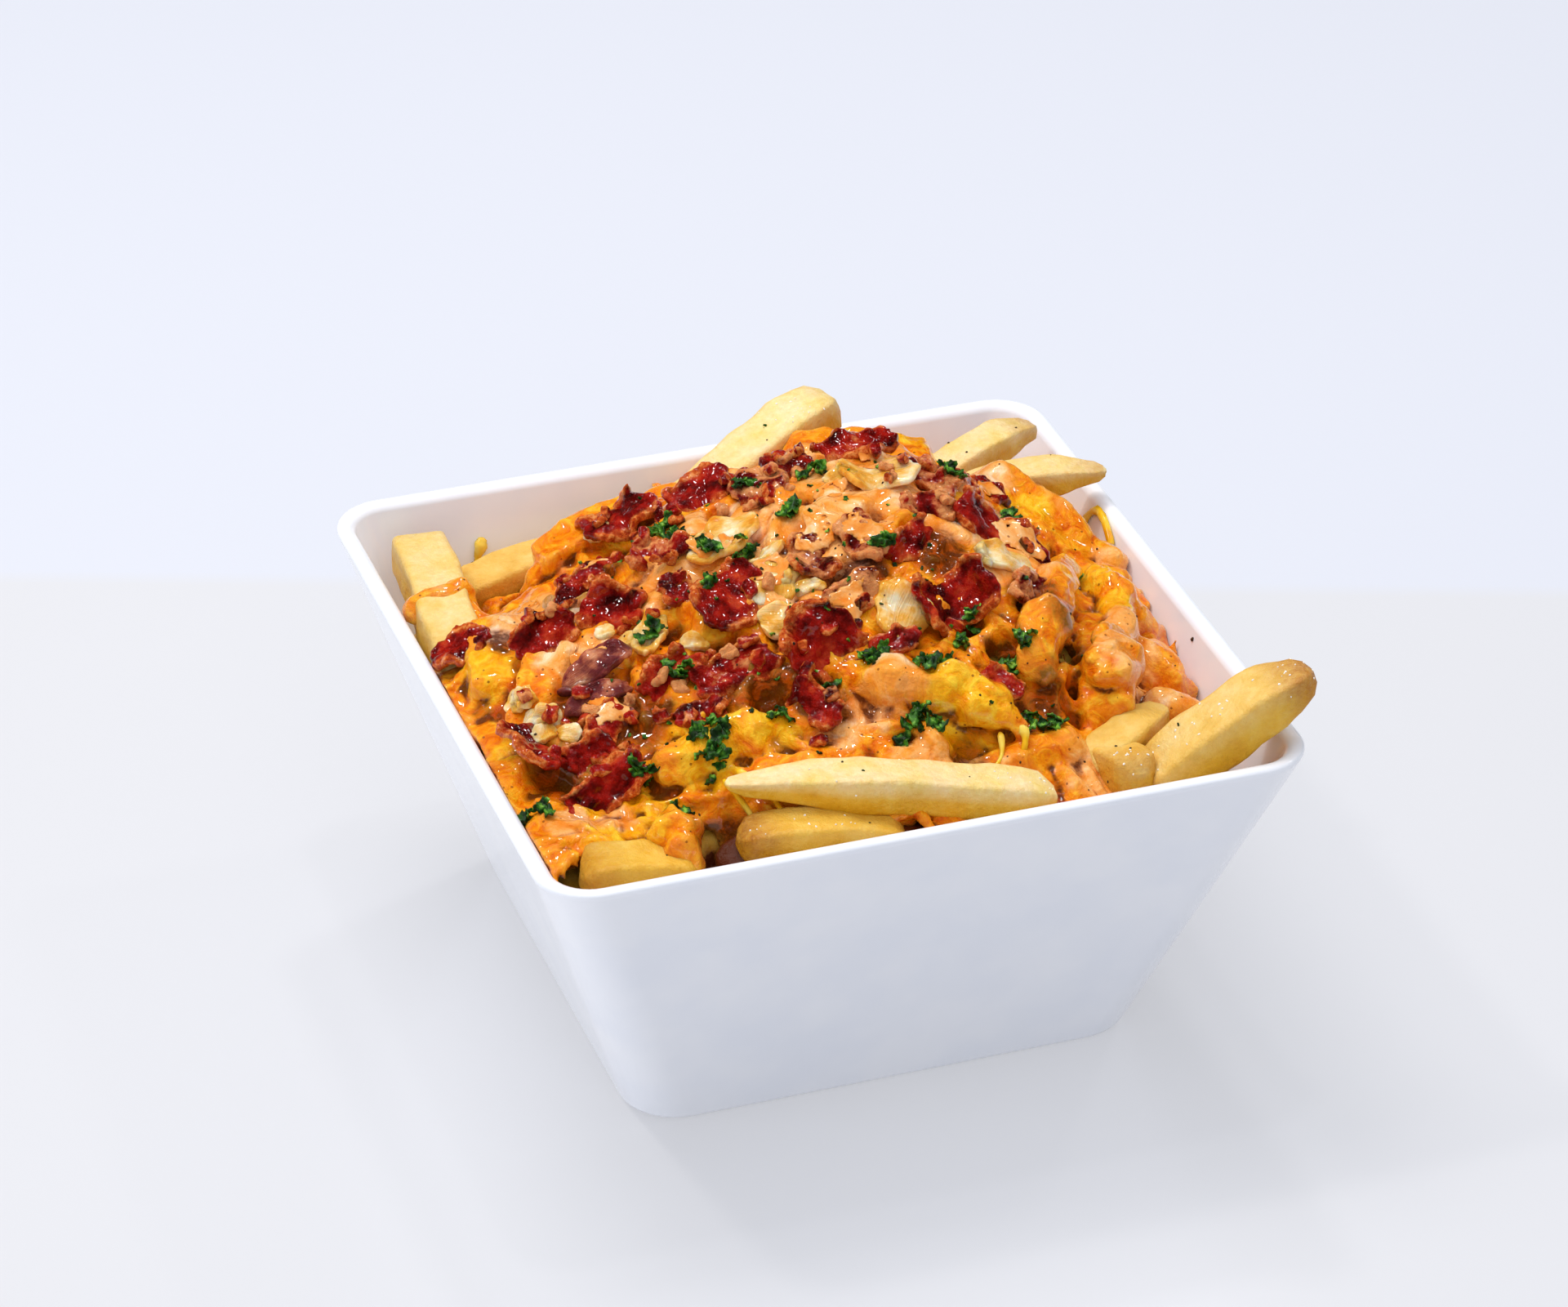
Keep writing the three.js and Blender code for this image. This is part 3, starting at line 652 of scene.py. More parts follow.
# where bacon fat and browned onion juices have run, and painted shade in the hollows between the coated
# fries, as (x, y, radius)
juiceAndShadeFields = [
    (-25, -29, 10), (-12, -41, 7), (-45, -28, 9), (-52, -16, 8), (-62, -33, 9), (-40, 19, 7),
    (35, -48, 5), (40, -23, 6), (29, -35, 4), (44, -33, 5), (13, -59, 4), (8, -12, 6), (24, -12, 7),
    (-62, 10, 5), (-37, -65, 10), (-36, 20, 6), (30, 4, 5), (-14, -34, 6),
]


def fieldAt(fields, x, y, warp=2.2):
    # the strongest of the fields at x, y, with uneven edges
    wx = x + warp * wobble(x / 7, y / 7, 2.1) + 0.5 * warp * wobble(x / 2.8, y / 2.8, 5)
    wy = y + warp * wobble(x / 7, y / 7, 9.4) + 0.5 * warp * wobble(x / 2.8, y / 2.8, 8)
    best = 0
    for fx, fy, radius in fields:
        d2 = (wx - fx) ** 2 + (wy - fy) ** 2
        if d2 < 1.7 * radius * radius:
            best = max(best, 1 - smoothStep(math.sqrt(d2) / radius, 0.55, 1.25))
    return best


def makeCoatedFry(blank, name, fry, seed):
    ends = [(x, y, heapTop(x, y) + rise) for x, y, rise in (fry["from"], fry["to"])]
    return makeFry(blank, name, {"from": ends[0], "to": ends[1], "width": fry["width"], "tip": 1}, seed)


def makeShred(name, x, y, turn, length, width, sink, rng):
    # a shred of cheese: a short crooked tube that follows the blanket
    shred = makeTube(name, 6, 6)
    bend = rng.uniform(-0.5, 0.5)
    for vertex in shred.data.vertices:
        along = vertex.co.z * length
        angle = turn + bend * vertex.co.z
        swell = 1 - 0.5 * (2 * abs(vertex.co.z)) ** 4
        cx, cy = x + along * math.cos(angle), y + along * math.sin(angle)
        across = vertex.co.x * width / 2 * swell
        px, py = cx - across * math.sin(angle), cy + across * math.cos(angle)
        z = meltDetail(cx, cy) - sink + vertex.co.y * width / 2 * swell
        vertex.co = Vector((px, py, z)) * mm
    return shred


def meltDetail(x, y):
    fold = wobble(x / 5.2, y / 5.2, 0.3)
    crease = 1 - abs(wobble(x / 6.5 + 3, y / 6.5, 4.1)) * 2
    # folds about 7 mm apart run down the slope, away from the peak
    px, py, _ = heap["peak"]
    away = math.hypot(x - px, y - py)
    bend = wobble(x / 13, y / 13, 6.6)
    rib = math.sin(math.atan2(y - py, x - px) * 43 + 6 * bend + away / 9)
    rib *= smoothStep(away, 22, 45) * smoothStep(bend, -0.3, 0.3)
    return meltTop(x, y) + 0.9 * fold + 0.7 * crease - 0.5 + 0.55 * rib - dentAt(pits, x, y)


# ribs, lobes and drips drawn out of the melt: the path, and how wide it is along it
drawn = [
    {"path": [(58, 19, 75), (67, 14, 73), (72, 8, 69.5)], "wide": [6, 9, 10]},
    {"path": [(60, 5, 75), (67.5, 1, 71.5), (71.5, -4, 66.5)], "wide": [7, 10, 10]},
    {"path": [(60, -9, 74.5), (67, -13, 70.5), (70.5, -17, 64.5)], "wide": [7, 10, 11]},
    {"path": [(59, -25, 73), (65.5, -29, 69.5), (69, -33, 62.5)], "wide": [7, 11, 11]},
    {"path": [(58, -41, 71), (64, -44, 68), (67.5, -47, 62)], "wide": [7, 10, 9]},
    {"path": [(57, 2, 78), (51, -10, 84), (44, -23, 87), (37, -36, 86.5), (32, -45, 82.5)],
     "wide": [7, 9, 10, 10, 8]},
    {"path": [(63, 6, 74.5), (64, -6, 76), (61, -18, 77), (57, -29, 77.5)], "wide": [6, 9, 8, 6]},
    {"path": [(47, -46, 78), (50, -41, 80.5), (55, -36, 78.5)], "wide": [9, 12, 9]},
    {"path": [(-7, -34, 85), (4, -40, 85), (14, -46, 84.5), (25, -50, 82.5)], "wide": [6, 12, 13, 9]},
    {"path": [(-46, -41, 75.5), (-38, -43, 77.5), (-28, -42, 80), (-18, -44, 80)], "wide": [8, 12, 12, 9]},
    {"path": [(-30, -50, 76), (-18, -53, 77), (-6, -55, 76)], "wide": [7, 9, 6]},
    {"path": [(12, -60, 72), (24, -58, 73.5), (38, -55, 73.5)], "wide": [7, 10, 9]},
    {"path": [(-64, -10, 73), (-60, -24, 73.5), (-58, -38, 72.5)], "wide": [6, 9, 6]},
    {"path": [(47, -36, 84.6), (52, -32, 84.6), (57, -29, 80.5)], "wide": [1.6, 2.4, 1.6]},
    {"path": [(46, -39.5, 85), (51, -36, 85), (57, -33, 80.5)], "wide": [1.6, 2.6, 1.6]},
    {"path": [(44, -43, 84.4), (50, -40, 84.6), (56, -37, 80)], "wide": [1.6, 2.6, 1.6]},
    {"path": [(44, -47, 82.6), (49, -44.5, 82.8), (55, -41, 79)], "wide": [1.6, 2.4, 1.6]},
    {"path": [(67, -24, 61), (71, -22, 65.4), (72.6, -20.5, 68), (73.6, -19.6, 71)],
     "wide": [11, 6, 3.6, 2.2]},
    {"path": [(66, -37, 60), (69.6, -34.6, 62), (71.6, -34, 66)], "wide": [9, 6, 2.2]},
    {"path": [(-72.5, 36, 70), (-71, 37, 73.8), (-66, 38, 74.2), (-61, 39, 73.6), (-59, 40, 68)],
     "wide": [4, 6, 6.4, 6.2, 4]},
    {"path": [(-62, 36, 73), (-60.5, 33, 71), (-60, 28, 69)], "wide": [3, 5, 6]},
    {"path": [(-44, 36, 80), (-47, 36, 76), (-48, 36.5, 71)], "wide": [6, 5, 2.2]},
    {"path": [(-48, -55, 73), (-48.5, -62, 74), (-48.5, -66, 72.5), (-48, -69, 66)], "wide": [9, 10, 8, 5]},
    {"path": [(14, -49, 84), (22, -53, 82), (25, -57, 79.5)], "wide": [7, 6, 3]},
]


def pathAt(path, t):
    # a smooth curve through the path's points
    spot = min(max(t, 0), 0.9999) * (len(path) - 1)
    i, f = int(spot), spot - int(spot)
    a, b, c, d = (Vector(path[min(max(j, 0), len(path) - 1)]) for j in (i - 1, i, i + 1, i + 2))
    square, cube = 2 * a - 5 * b + 4 * c - d, 3 * b - a - 3 * c + d
    return 0.5 * (2 * b + (c - a) * f + square * f * f + cube * f ** 3)


def makeStrand(name, path, wide):
    strand = makeTube(name, 8, 13)
    for vertex in strand.data.vertices:
        t = vertex.co.z + 0.5
        spot = min(t, 0.9999) * (len(wide) - 1)
        i, f = int(spot), spot - int(spot)
        radius = (wide[i] * (1 - f) + wide[i + 1] * f) / 2
        radius *= math.sqrt(max(1 - (2 * abs(vertex.co.z)) ** 10, 0.2))
        radius *= 1 + 0.5 * wobble(spot * 1.7, path[0][0], vertex.co.x)
        ahead = (pathAt(path, t + 0.02) - pathAt(path, t - 0.02)).normalized()
        side = ahead.cross(Vector((0.1, 0.2, 1))).normalized()
        offset = side * vertex.co.x + side.cross(ahead) * vertex.co.y
        vertex.co = (pathAt(path, t) + offset * radius) * mm
    return strand


def makeMelt(shape):
    bpy.ops.mesh.primitive_grid_add(x_subdivisions=shape["cells"], y_subdivisions=shape["cells"], size=2)
    blanket = bpy.context.active_object
    bare = []
    for vertex in blanket.data.vertices:
        u, v = vertex.co.x, vertex.co.y
        x, y = inHollow(u, v, hollowHalf(72))
        z = meltDetail(x, y)
        x, y = inHollow(u, v, hollowHalf(z))
        gap = fieldAt(bareGaps, x, y, 3)
        thin = 1 - 0.75 * smoothStep(gap, 0.1, 0.5)
        z = meltDetail(x, y) - heap["blanket"] * (1 - thin)
        bare.append(gap > 0.5)
        vertex.co = Vector((x, y, z)) * mm
    deleteVertices(blanket, bare)
    finishModifier(blanket, "SOLIDIFY", thickness=shape["thick"] * mm, offset=-1)

    blank = makeFryBlank()
    forms = [makeCoatedFry(blank, f"coated{i}", fry, 5.3 * i + 1) for i, fry in enumerate(coatedFries)]
    bpy.data.objects.remove(blank)
    rng = random.Random(7)
    for i in range(shape["shreds"]):
        x, y = rng.uniform(-72, 72), rng.uniform(-72, 72)
        if fieldAt(bareGaps, x, y) > 0.3 or (fieldAt(sauceFields, x, y) > 0.6 and rng.random() < 0.7):
            continue
        length, width = rng.uniform(*shape["shredLength"]), rng.uniform(*shape["shredWidth"])
        forms.append(makeShred(f"shred{i}", x, y, rng.uniform(0, math.pi), length, width,
                               rng.uniform(-0.7, 0.3), rng))
    forms += [makeStrand(f"drawn{i}", one["path"], one["wide"]) for i, one in enumerate(drawn)]
    for form in forms:
        for name in [a.name for a in form.data.attributes if a.name == "fried"]:
            form.data.attributes.remove(form.data.attributes[name])
    whole = joinAs("meltedCheese", [blanket, *forms])
    finishModifier(whole, "REMESH", mode="VOXEL", voxel_size=shape["voxel"] * mm)
    finishModifier(whole, "SMOOTH", factor=0.5, iterations=2)
    finishModifier(whole, "DECIMATE", ratio=shape["keep"])
    return whole


def shadeMelt(whole, shape):
    # relief of the set surface, where each kind of melt lies, and where painted shade and painted light lie
    whole.data.update()
    normals = [v.normal.copy() for v in whole.data.vertices]
    places = [v.co / mm for v in whole.data.vertices]
    kinds = []
    for vertex, normal, hollow, (x, y, z) in zip(whole.data.vertices, normals, sunkBy(whole, 14), places):
        sauce = fieldAt(sauceFields, x, y)
        marble = wobble(x / 9 + 1, y / 9, z / 5)
        streak = wobble(x / 2.6, y / 2.6, z / 2.6)
        sauce = smoothStep(sauce + 0.5 * marble + 0.25 * streak, 0.25, 0.75)
        # painted shade in the pits and hollows, full below 9 mm down
        sunk = smoothStep(meltTop(x, y) - z, 0.4, 3.4) if z > meltTop(x, y) - 9 else 1
        juiceAndShade = max(fieldAt(juiceAndShadeFields, x, y), sunk, smoothStep(hollow, 0, 0.6))
        yellow = smoothStep(fieldAt(yellowFields, x, y) + 0.35 * marble + 0.3 * streak, 0.3,
                            0.9) * (1 - 0.7 * sauce)
        # the fourth value marks the crests for painted light
        kinds.append((sauce, juiceAndShade, yellow, smoothStep(-hollow, 0.15, 1.1)))
        fine = wobble(x / 1.9, y / 1.9, z / 1.9) * 0.35 + wobble(x / 3.6, y / 3.6, z / 3.6) * 0.6
        fine += wobble(x / 7, y / 7, z / 7 + 3) * 0.9
        lift = shape["ridge"] * sauce + fine * (1 - 0.6 * sauce)
        vertex.co += normal * lift * mm
    paint(whole, "melt", kinds)


def addSpice(tree, spot, under, leftOut, size):
    # ground pepper and paprika, grains of about 0.5 mm in cells of 1.6 mm, most cells left out
    cells = addNode(tree, "TexVoronoi", {"Vector": spot, "Scale": 620, "Randomness": 1})
    pick = addNode(tree, "SeparateColor", {"Color": cells.outputs["Color"]})
    chosen = addNode(tree, "Math", {0: pick.outputs["Red"], 1: leftOut}, operation="GREATER_THAN")
    near = addNode(tree, "Math", {0: cells, 1: size}, operation="LESS_THAN")
    grain = addNode(tree, "Math", {0: chosen, 1: near}, operation="MULTIPLY")
    soft = addNode(tree, "Math", {0: grain, 1: 0.7}, operation="MULTIPLY")
    return addNode(tree, "MixRGB", {"Fac": soft, "Color1": under, "Color2": linear("#7A2E0C")})


def makeCheddar():
    # Melted cheddar under a thin mayonnaise sauce with paprika: fatty, wet, and lit through its edges
    material, tree, shader, spot = startMaterial("melted cheddar and sauce")
    kind = addNode(tree, "Attribute", attribute_name="melt")
    split = addNode(tree, "SeparateColor", {"Color": kind})
    # strands about 3 mm wide, deep orange where thick and yellow where drawn thin
    strand = addNode(tree, "TexNoise", {"Vector": spot, "Scale": 250, "Detail": 5, "Roughness": 0.62,
                                        "Distortion": 1.1})
    cheddar = setRamp(addNode(tree, "ValToRGB", {"Fac": strand}),
                      [(0.3, "#CE4C00"), (0.42, "#E57202"), (0.55, "#F2920C"), (0.68, "#FAB82A")])
    yellow = setRamp(addNode(tree, "ValToRGB", {"Fac": strand}),
                     [(0.32, "#E88402"), (0.48, "#F4A808"), (0.66, "#FCCA30")])
    fresh = addNode(tree, "MixRGB", {"Fac": split.outputs["Blue"], "Color1": cheddar, "Color2": yellow})
    # the sauce is pinker where thick, and the orange shows through where it thins to streaks
    cream = addNode(tree, "TexNoise", {"Vector": spot, "Scale": 120, "Detail": 5, "Roughness": 0.6,
                                       "Distortion": 0.8})
    sauce = setRamp(addNode(tree, "ValToRGB", {"Fac": cream}),
                    [(0.32, "#E47A16"), (0.46, "#F0963C"), (0.58, "#F8B66E"), (0.7, "#FFDAB0")])
    streak = addNode(tree, "MapRange", {"Value": cream, "From Min": 0.3, "From Max": 0.48, "To Min": 0.45})
    cover = addNode(tree, "Math", {0: split.outputs["Red"], 1: streak}, operation="MULTIPLY")
    dressed = addNode(tree, "MixRGB", {"Fac": cover, "Color1": fresh, "Color2": sauce})
    # juice stains and painted shade in the hollows, darkened to deep red
    stainAndShade = addNode(tree, "Math", {0: split.outputs["Green"], 1: strand}, operation="MULTIPLY")
    stainAndShadeSoft = addNode(tree, "MapRange", {"Value": stainAndShade, "From Min": 0.1, "From Max": 0.52, "To Max": 0.92})
    deep = setRamp(addNode(tree, "ValToRGB", {"Fac": stainAndShadeSoft}),
                   [(0.1, "#C04400"), (0.5, "#8A1E00"), (0.95, "#4A0800")])
    stainedAndShaded = addNode(tree, "MixRGB", {"Fac": stainAndShadeSoft, "Color1": dressed, "Color2": deep})
    # the crests are painted lighter, as painted light
    crest = addNode(tree, "Math", {0: kind.outputs["Alpha"], 1: 0.3}, operation="MULTIPLY")
    lit = addNode(tree, "MixRGB", {"Fac": crest, "Color1": stainedAndShaded, "Color2": linear("#FFBE48")})
    spiced = addSpice(tree, spot, lit, 0.84, 0.18)
    wet = addNode(tree, "MapRange", {"Value": cream, "From Min": 0.3, "From Max": 0.7, "To Min": 0.16,
                                     "To Max": 0.34})
    # drawn threads and set ripples, 1 to 4 mm
    ripple = addNode(tree, "TexNoise", {"Vector": spot, "Scale": 800, "Detail": 3})
    threads = addNode(tree, "Math", {0: strand, 1: 2, 2: ripple}, operation="MULTIPLY_ADD")
    bump = addNode(tree, "Bump", {"Height": threads, "Strength": 0.5, "Distance": 0.0009})
    setInputs(shader, {
        "Base Color": spiced, "Roughness": wet, "IOR": 1.46, "Specular IOR Level": 0.2, "Normal": bump,
        "Coat Weight": 0.9, "Coat Roughness": 0.04,
        "Subsurface Weight": 0.15, "Subsurface Radius": (0.0018, 0.0007, 0.0003), "Subsurface Scale": 1,
    })
    return material


cheese = makeMelt(melt)
shadeMelt(cheese, melt)
keepInside(cheese)
coverWith(cheese, makeCheddar())
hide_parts("cheese")
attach(cheese, "root")
print("melt", len(cheese.data.polygons) * 2)


# Toppings: thin wavy chips set on the melt, at the places the solids give them

def makeChipBlank(name, cells):
    bpy.ops.mesh.primitive_grid_add(x_subdivisions=cells[0], y_subdivisions=cells[1], size=2, calc_uvs=True)
    blank = bpy.context.active_object
    blank.name = name
    return blank


def makeChip(blank, name, chip, look, surface):
    long, wide = chip["long"], chip["wide"]
    curl, ruffle = chip.get("curl", 0), chip.get("ruffle", 0)
    atX, atY = chip["at"]
    seed = atX * 0.7 + atY * 1.3
    piece = copyOf(blank, name)
    tilt = Euler([math.radians(chip.get(k, 0)) for k in ("bank", "pitch", "turn")], "XYZ").to_matrix()
    slope = lean(atX, atY).to_matrix()
    places = []
    for vertex in piece.data.vertices:
        u, v = vertex.co.x, vertex.co.y
        # torn outline: broad bites and small teeth along each side
        bite = wobble(v * 1.7 + math.copysign(4, u), seed, 1.5) + 0.45 * wobble(v * 5.5, seed, 8)
        nick = wobble(u * 2.1, seed, math.copysign(3, v)) + 0.45 * wobble(u * 7, seed, 5)
        u, v = (u * math.sqrt(1 - look["round"] * v * v) * (1 + look["torn"] * bite),
                v * math.sqrt(1 - look["round"] * u * u) * (1 + look["torn"] * nick))
        x = u * long / 2
        y = v * wide / 2 * (1 - 0.18 * abs(u) ** 3 + 0.1 * math.sin(seed + 4.5 * u))
        wave = ruffle * math.sin(3.5 * u + seed) * (0.25 + 0.75 * v * v)
        wave += look["crinkle"] * wobble(x / 4.2 + seed, y / 4.2, seed) * (0.45 + 0.55 * abs(v))
        wave += 0.3 * look["crinkle"] * wobble(x / 1.6, y / 1.6 + seed, seed)
        angle = curl * u / 2
        radius = long / curl if curl else 0
        bent = radius * math.sin(angle) if curl else x
        lifted = radius * (1 - math.cos(angle)) if curl else 0
        skew = v * 0.06 * long * math.sin(seed * 2)
        local = Vector((bent - wave * math.sin(angle) + skew, y, lifted + wave * math.cos(angle)))
        places.append(slope @ (tilt @ local))
    gaps = []
    base = heapTop(atX, atY)
    for place in places:
        x, y = atX + place.x, atY + place.y
        hit, _ = landOn(surface, x, y)
        ground = hit.z / mm if hit else heapTop(x, y)
        gaps.append(base + place.z - ground)
    gaps.sort()
    lowest = gaps[int(look["settle"] * len(gaps))]
    drop = base - lowest + chip.get("rise", 0) * 0.5 + look["lift"]
    for vertex, place in zip(piece.data.vertices, places):
        vertex.co = Vector((atX + place.x, atY + place.y, drop + place.z)) * mm
    paint(piece, "chip", [(0, chip.get("coat", 0), chip.get("browned", 0), 1)] * len(places))
    return piece


def finishChips(name, pieces, look):
    whole = joinAs(name, pieces)
    finishModifier(whole, "SOLIDIFY", thickness=look["thick"] * mm, offset=0)
    finishModifier(whole, "SUBSURF", levels=1, render_levels=1)
    whole.data.update()
    normals = [v.normal.copy() for v in whole.data.vertices]
    for vertex, normal in zip(whole.data.vertices, normals):
        place = vertex.co / mm
        bubble = noise.noise(place / look["bubbleSize"]) + 0.5 * noise.noise(place / look["bubbleSize"] * 2.3)
        vertex.co += normal * bubble * look["bubble"] * mm
    pickOnly(whole)
    bpy.ops.object.shade_smooth()
    return whole


skin = surfaceOf(cheese)

baconBits = [
    {"at": (21, 29), "turn": 5, "rise": 3, "pitch": -8, "bank": 25, "long": 18, "wide": 9, "curl": 0.8,
     "ruffle": 1.4, "coat": 0.15},
    {"at": (6, 30), "turn": -20, "rise": 3, "pitch": 10, "bank": 30, "long": 10, "wide": 8, "curl": 0.5,
     "ruffle": 0.8, "coat": 0.3},
    {"at": (31, 15), "turn": -50, "bank": 40, "long": 15, "wide": 6, "curl": 0.4, "ruffle": 0.7, "coat": 0.4},
    {"at": (21, -23), "turn": 20, "pitch": 5, "bank": 10, "long": 25, "wide": 14, "curl": 2.7, "ruffle": 1.1},
    {"at": (-8, -30), "turn": 35, "pitch": -10, "bank": 35, "long": 16, "wide": 15, "curl": 0.5,
     "ruffle": 0.9},
    {"at": (-20, -11), "turn": 40, "pitch": 8, "bank": 20, "long": 17, "wide": 15, "curl": 0.7,
     "ruffle": 1.2},
    {"at": (40, -3), "turn": -20, "bank": 25, "long": 22, "wide": 11, "curl": 0.6, "ruffle": 1},
    {"at": (-12, 31), "turn": 10, "bank": 30, "long": 15, "wide": 12, "curl": 1.5, "ruffle": 1.2,
     "coat": 0.1},
    {"at": (-2, 22), "turn": -15, "bank": 15, "long": 12, "wide": 12, "curl": 0.6, "ruffle": 0.6,
     "coat": 0.45},
    {"at": (-29, 34), "turn": 5, "bank": 20, "long": 16, "wide": 12, "curl": 0.5, "ruffle": 0.9},
    {"at": (-40, 5), "turn": -50, "pitch": 10, "bank": 20, "long": 14, "wide": 12, "curl": 0.7,
     "ruffle": 0.8},
    {"at": (-55, 2), "turn": 15, "bank": 35, "long": 13, "wide": 10, "curl": 0.6, "ruffle": 1.1},
    {"at": (-69, 14), "turn": -25, "bank": 12, "long": 13, "wide": 10, "curl": 0.2, "ruffle": 0.5},
    {"at": (-66, -27), "turn": -75, "bank": -35, "long": 16, "wide": 11, "curl": 0.5, "ruffle": 0.7},
    {"at": (-56, -42), "turn": 15, "bank": 20, "long": 20, "wide": 9, "curl": 0.9, "ruffle": 0.6},
    {"at": (-57, -33), "turn": 10, "bank": 30, "long": 11, "wide": 8, "curl": 0.5, "ruffle": 0.5},
    {"at": (-52, -27), "turn": 40, "bank": 25, "long": 11, "wide": 7, "curl": 0.4, "ruffle": 0.5, "rise": 3},
    {"at": (-27, 13), "turn": -35, "bank": 15, "long": 13, "wide": 8, "curl": 0.8, "ruffle": 0.9,
     "coat": 0.3},
    {"at": (-28, 0), "turn": 80, "bank": 20, "long": 12, "wide": 7, "curl": 0.5, "ruffle": 0.5},
    {"at": (-25, -26), "turn": 5, "bank": 15, "long": 18, "wide": 10, "curl": 0.4, "ruffle": 0.6,
     "coat": 0.25},
    {"at": (-37, -22), "turn": 25, "bank": 25, "long": 14, "wide": 9, "curl": 0.5, "ruffle": 0.6},
    {"at": (-34, -33), "turn": 0, "bank": 20, "long": 10, "wide": 6, "curl": 0.5, "ruffle": 0.8},
    {"at": (-13, -42), "turn": -60, "bank": 15, "long": 13, "wide": 8, "curl": 1.2, "ruffle": 0.8},
    {"at": (-42, 19), "turn": 35, "bank": 30, "long": 18, "wide": 6, "curl": 0.2, "ruffle": 0.4},
    {"at": (2, -20), "turn": 15, "bank": 20, "long": 14, "wide": 8, "curl": 0.6, "ruffle": 0.7, "coat": 0.55},
    {"at": (-1, -6), "turn": 75, "bank": 10, "long": 13, "wide": 10, "curl": 0.5, "ruffle": 0.6, "coat": 0.5},
    {"at": (10, -6), "turn": -70, "bank": -10, "long": 14, "wide": 10, "curl": 0.5, "ruffle": 0.6,
     "coat": 0.45},
    {"at": (19, -8), "turn": 30, "bank": 35, "long": 13, "wide": 7, "curl": 0.3, "ruffle": 0.4},
    {"at": (26, 0), "turn": -10, "bank": 20, "long": 12, "wide": 6, "curl": 0.5, "ruffle": 0.5, "coat": 0.35},
    {"at": (38, 14), "turn": -10, "bank": 20, "long": 11, "wide": 9, "curl": 0.3, "ruffle": 0.6,
     "coat": 0.35},
    {"at": (47, 20), "turn": -70, "bank": 15, "long": 10, "wide": 7, "curl": 0.8, "ruffle": 0.7},
    {"at": (7, -32), "turn": 5, "bank": 15, "long": 11, "wide": 6, "curl": 0.3, "ruffle": 0.5},
    {"at": (39, -22), "turn": 60, "bank": 20, "long": 11, "wide": 7, "curl": 0.3, "ruffle": 0.5, "coat": 0.5},
    {"at": (25, -45), "turn": -45, "bank": 10, "long": 9, "wide": 6, "curl": 0.2, "ruffle": 0.3},
]

bacon = {
    "cells": (17, 12),
    "thick": 1.8,
    "round": 0.16,
    "torn": 0.26,
    "crinkle": 2.6,
    "settle": 0.22,
    "lift": -0.1,
    "bubble": 0.36,
    "bubbleSize": 1.3,
}


def makeFriedBacon():
    # Smoked bacon fried crisp: wine-red lean that gleams with fat, with a crumbly tan and orange rim
    material, tree, shader, spot = startMaterial("crisp fried bacon")
    chip = addNode(tree, "Attribute", attribute_name="chip")
    split = addNode(tree, "SeparateColor", {"Color": chip})
    grain = addNode(tree, "TexNoise", {"Vector": spot, "Scale": 700, "Detail": 4, "Roughness": 0.7})
    patch = addNode(tree, "TexNoise", {"Vector": spot, "Scale": 170, "Detail": 4, "Roughness": 0.6})
    meatTone = setRamp(addNode(tree, "ValToRGB", {"Fac": patch}),
                       [(0.34, "#300202"), (0.44, "#6A0704"), (0.55, "#A0150B"), (0.68, "#C84420")])
    fat = setRamp(addNode(tree, "ValToRGB", {"Fac": grain}),
                  [(0.35, "#9C2A06"), (0.5, "#C85818"), (0.62, "#E8964C")])
    # distance from the middle of the bit, 0 to 1 at its rim
    flat = addNode(tree, "TexCoord").outputs["UV"]
    middle = addNode(tree, "VectorMath", {0: flat, 1: (0.5, 0.5, 0)}, operation="SUBTRACT")
    half = addNode(tree, "VectorMath", {0: middle}, operation="ABSOLUTE")
    axes = addNode(tree, "SeparateXYZ", {"Vector": half})
    # the fat runs along both long sides, wider where the patch noise is high
    frayed = addNode(tree, "Math", {0: patch, 1: 0.42, 2: axes.outputs["Y"]}, operation="MULTIPLY_ADD")
    rim = addNode(tree, "MapRange", {"Value": frayed, "From Min": 0.53, "From Max": 0.65, "To Max": 0.95})
    meat = addNode(tree, "MixRGB", {"Fac": rim, "Color1": meatTone, "Color2": fat})
    # sauce clings to the bits that lie in it
    cling = addNode(tree, "Math", {0: split.outputs["Green"], 1: 0.55, 2: patch}, operation="MULTIPLY_ADD")
    coat = addNode(tree, "MapRange", {"Value": cling, "From Min": 0.7, "From Max": 0.82, "To Max": 0.9})
    dressed = addNode(tree, "MixRGB", {"Fac": coat, "Color1": meat, "Color2": linear("#E2985A")})
    gloss = addNode(tree, "MapRange", {"Value": rim, "To Min": 0.2, "To Max": 0.5})
    blister = addNode(tree, "Bump", {"Height": grain, "Strength": 1, "Distance": 0.0008})
    setInputs(shader, {
        "Base Color": dressed, "Roughness": gloss, "IOR": 1.47, "Specular IOR Level": 0.15, "Normal": blister,
        "Coat Weight": 1, "Coat Roughness": 0.06,
        "Subsurface Weight": 0.2, "Subsurface Radius": (0.002, 0.0005, 0.0003), "Subsurface Scale": 1,
    })
    return material


baconBlank = makeChipBlank("baconBlank", bacon["cells"])
bits = [makeChip(baconBlank, f"bit{i}", bit, bacon, skin) for i, bit in enumerate(baconBits)]
bpy.data.objects.remove(baconBlank)
baconPiece = finishChips("baconBits", bits, bacon)
baconPiece.data.materials.append(makeFriedBacon())
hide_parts(*[f"bacon_{i + 1:02d}" for i in range(len(baconBits))])
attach(baconPiece, "root")
print("bacon", len(baconPiece.data.polygons) * 2)

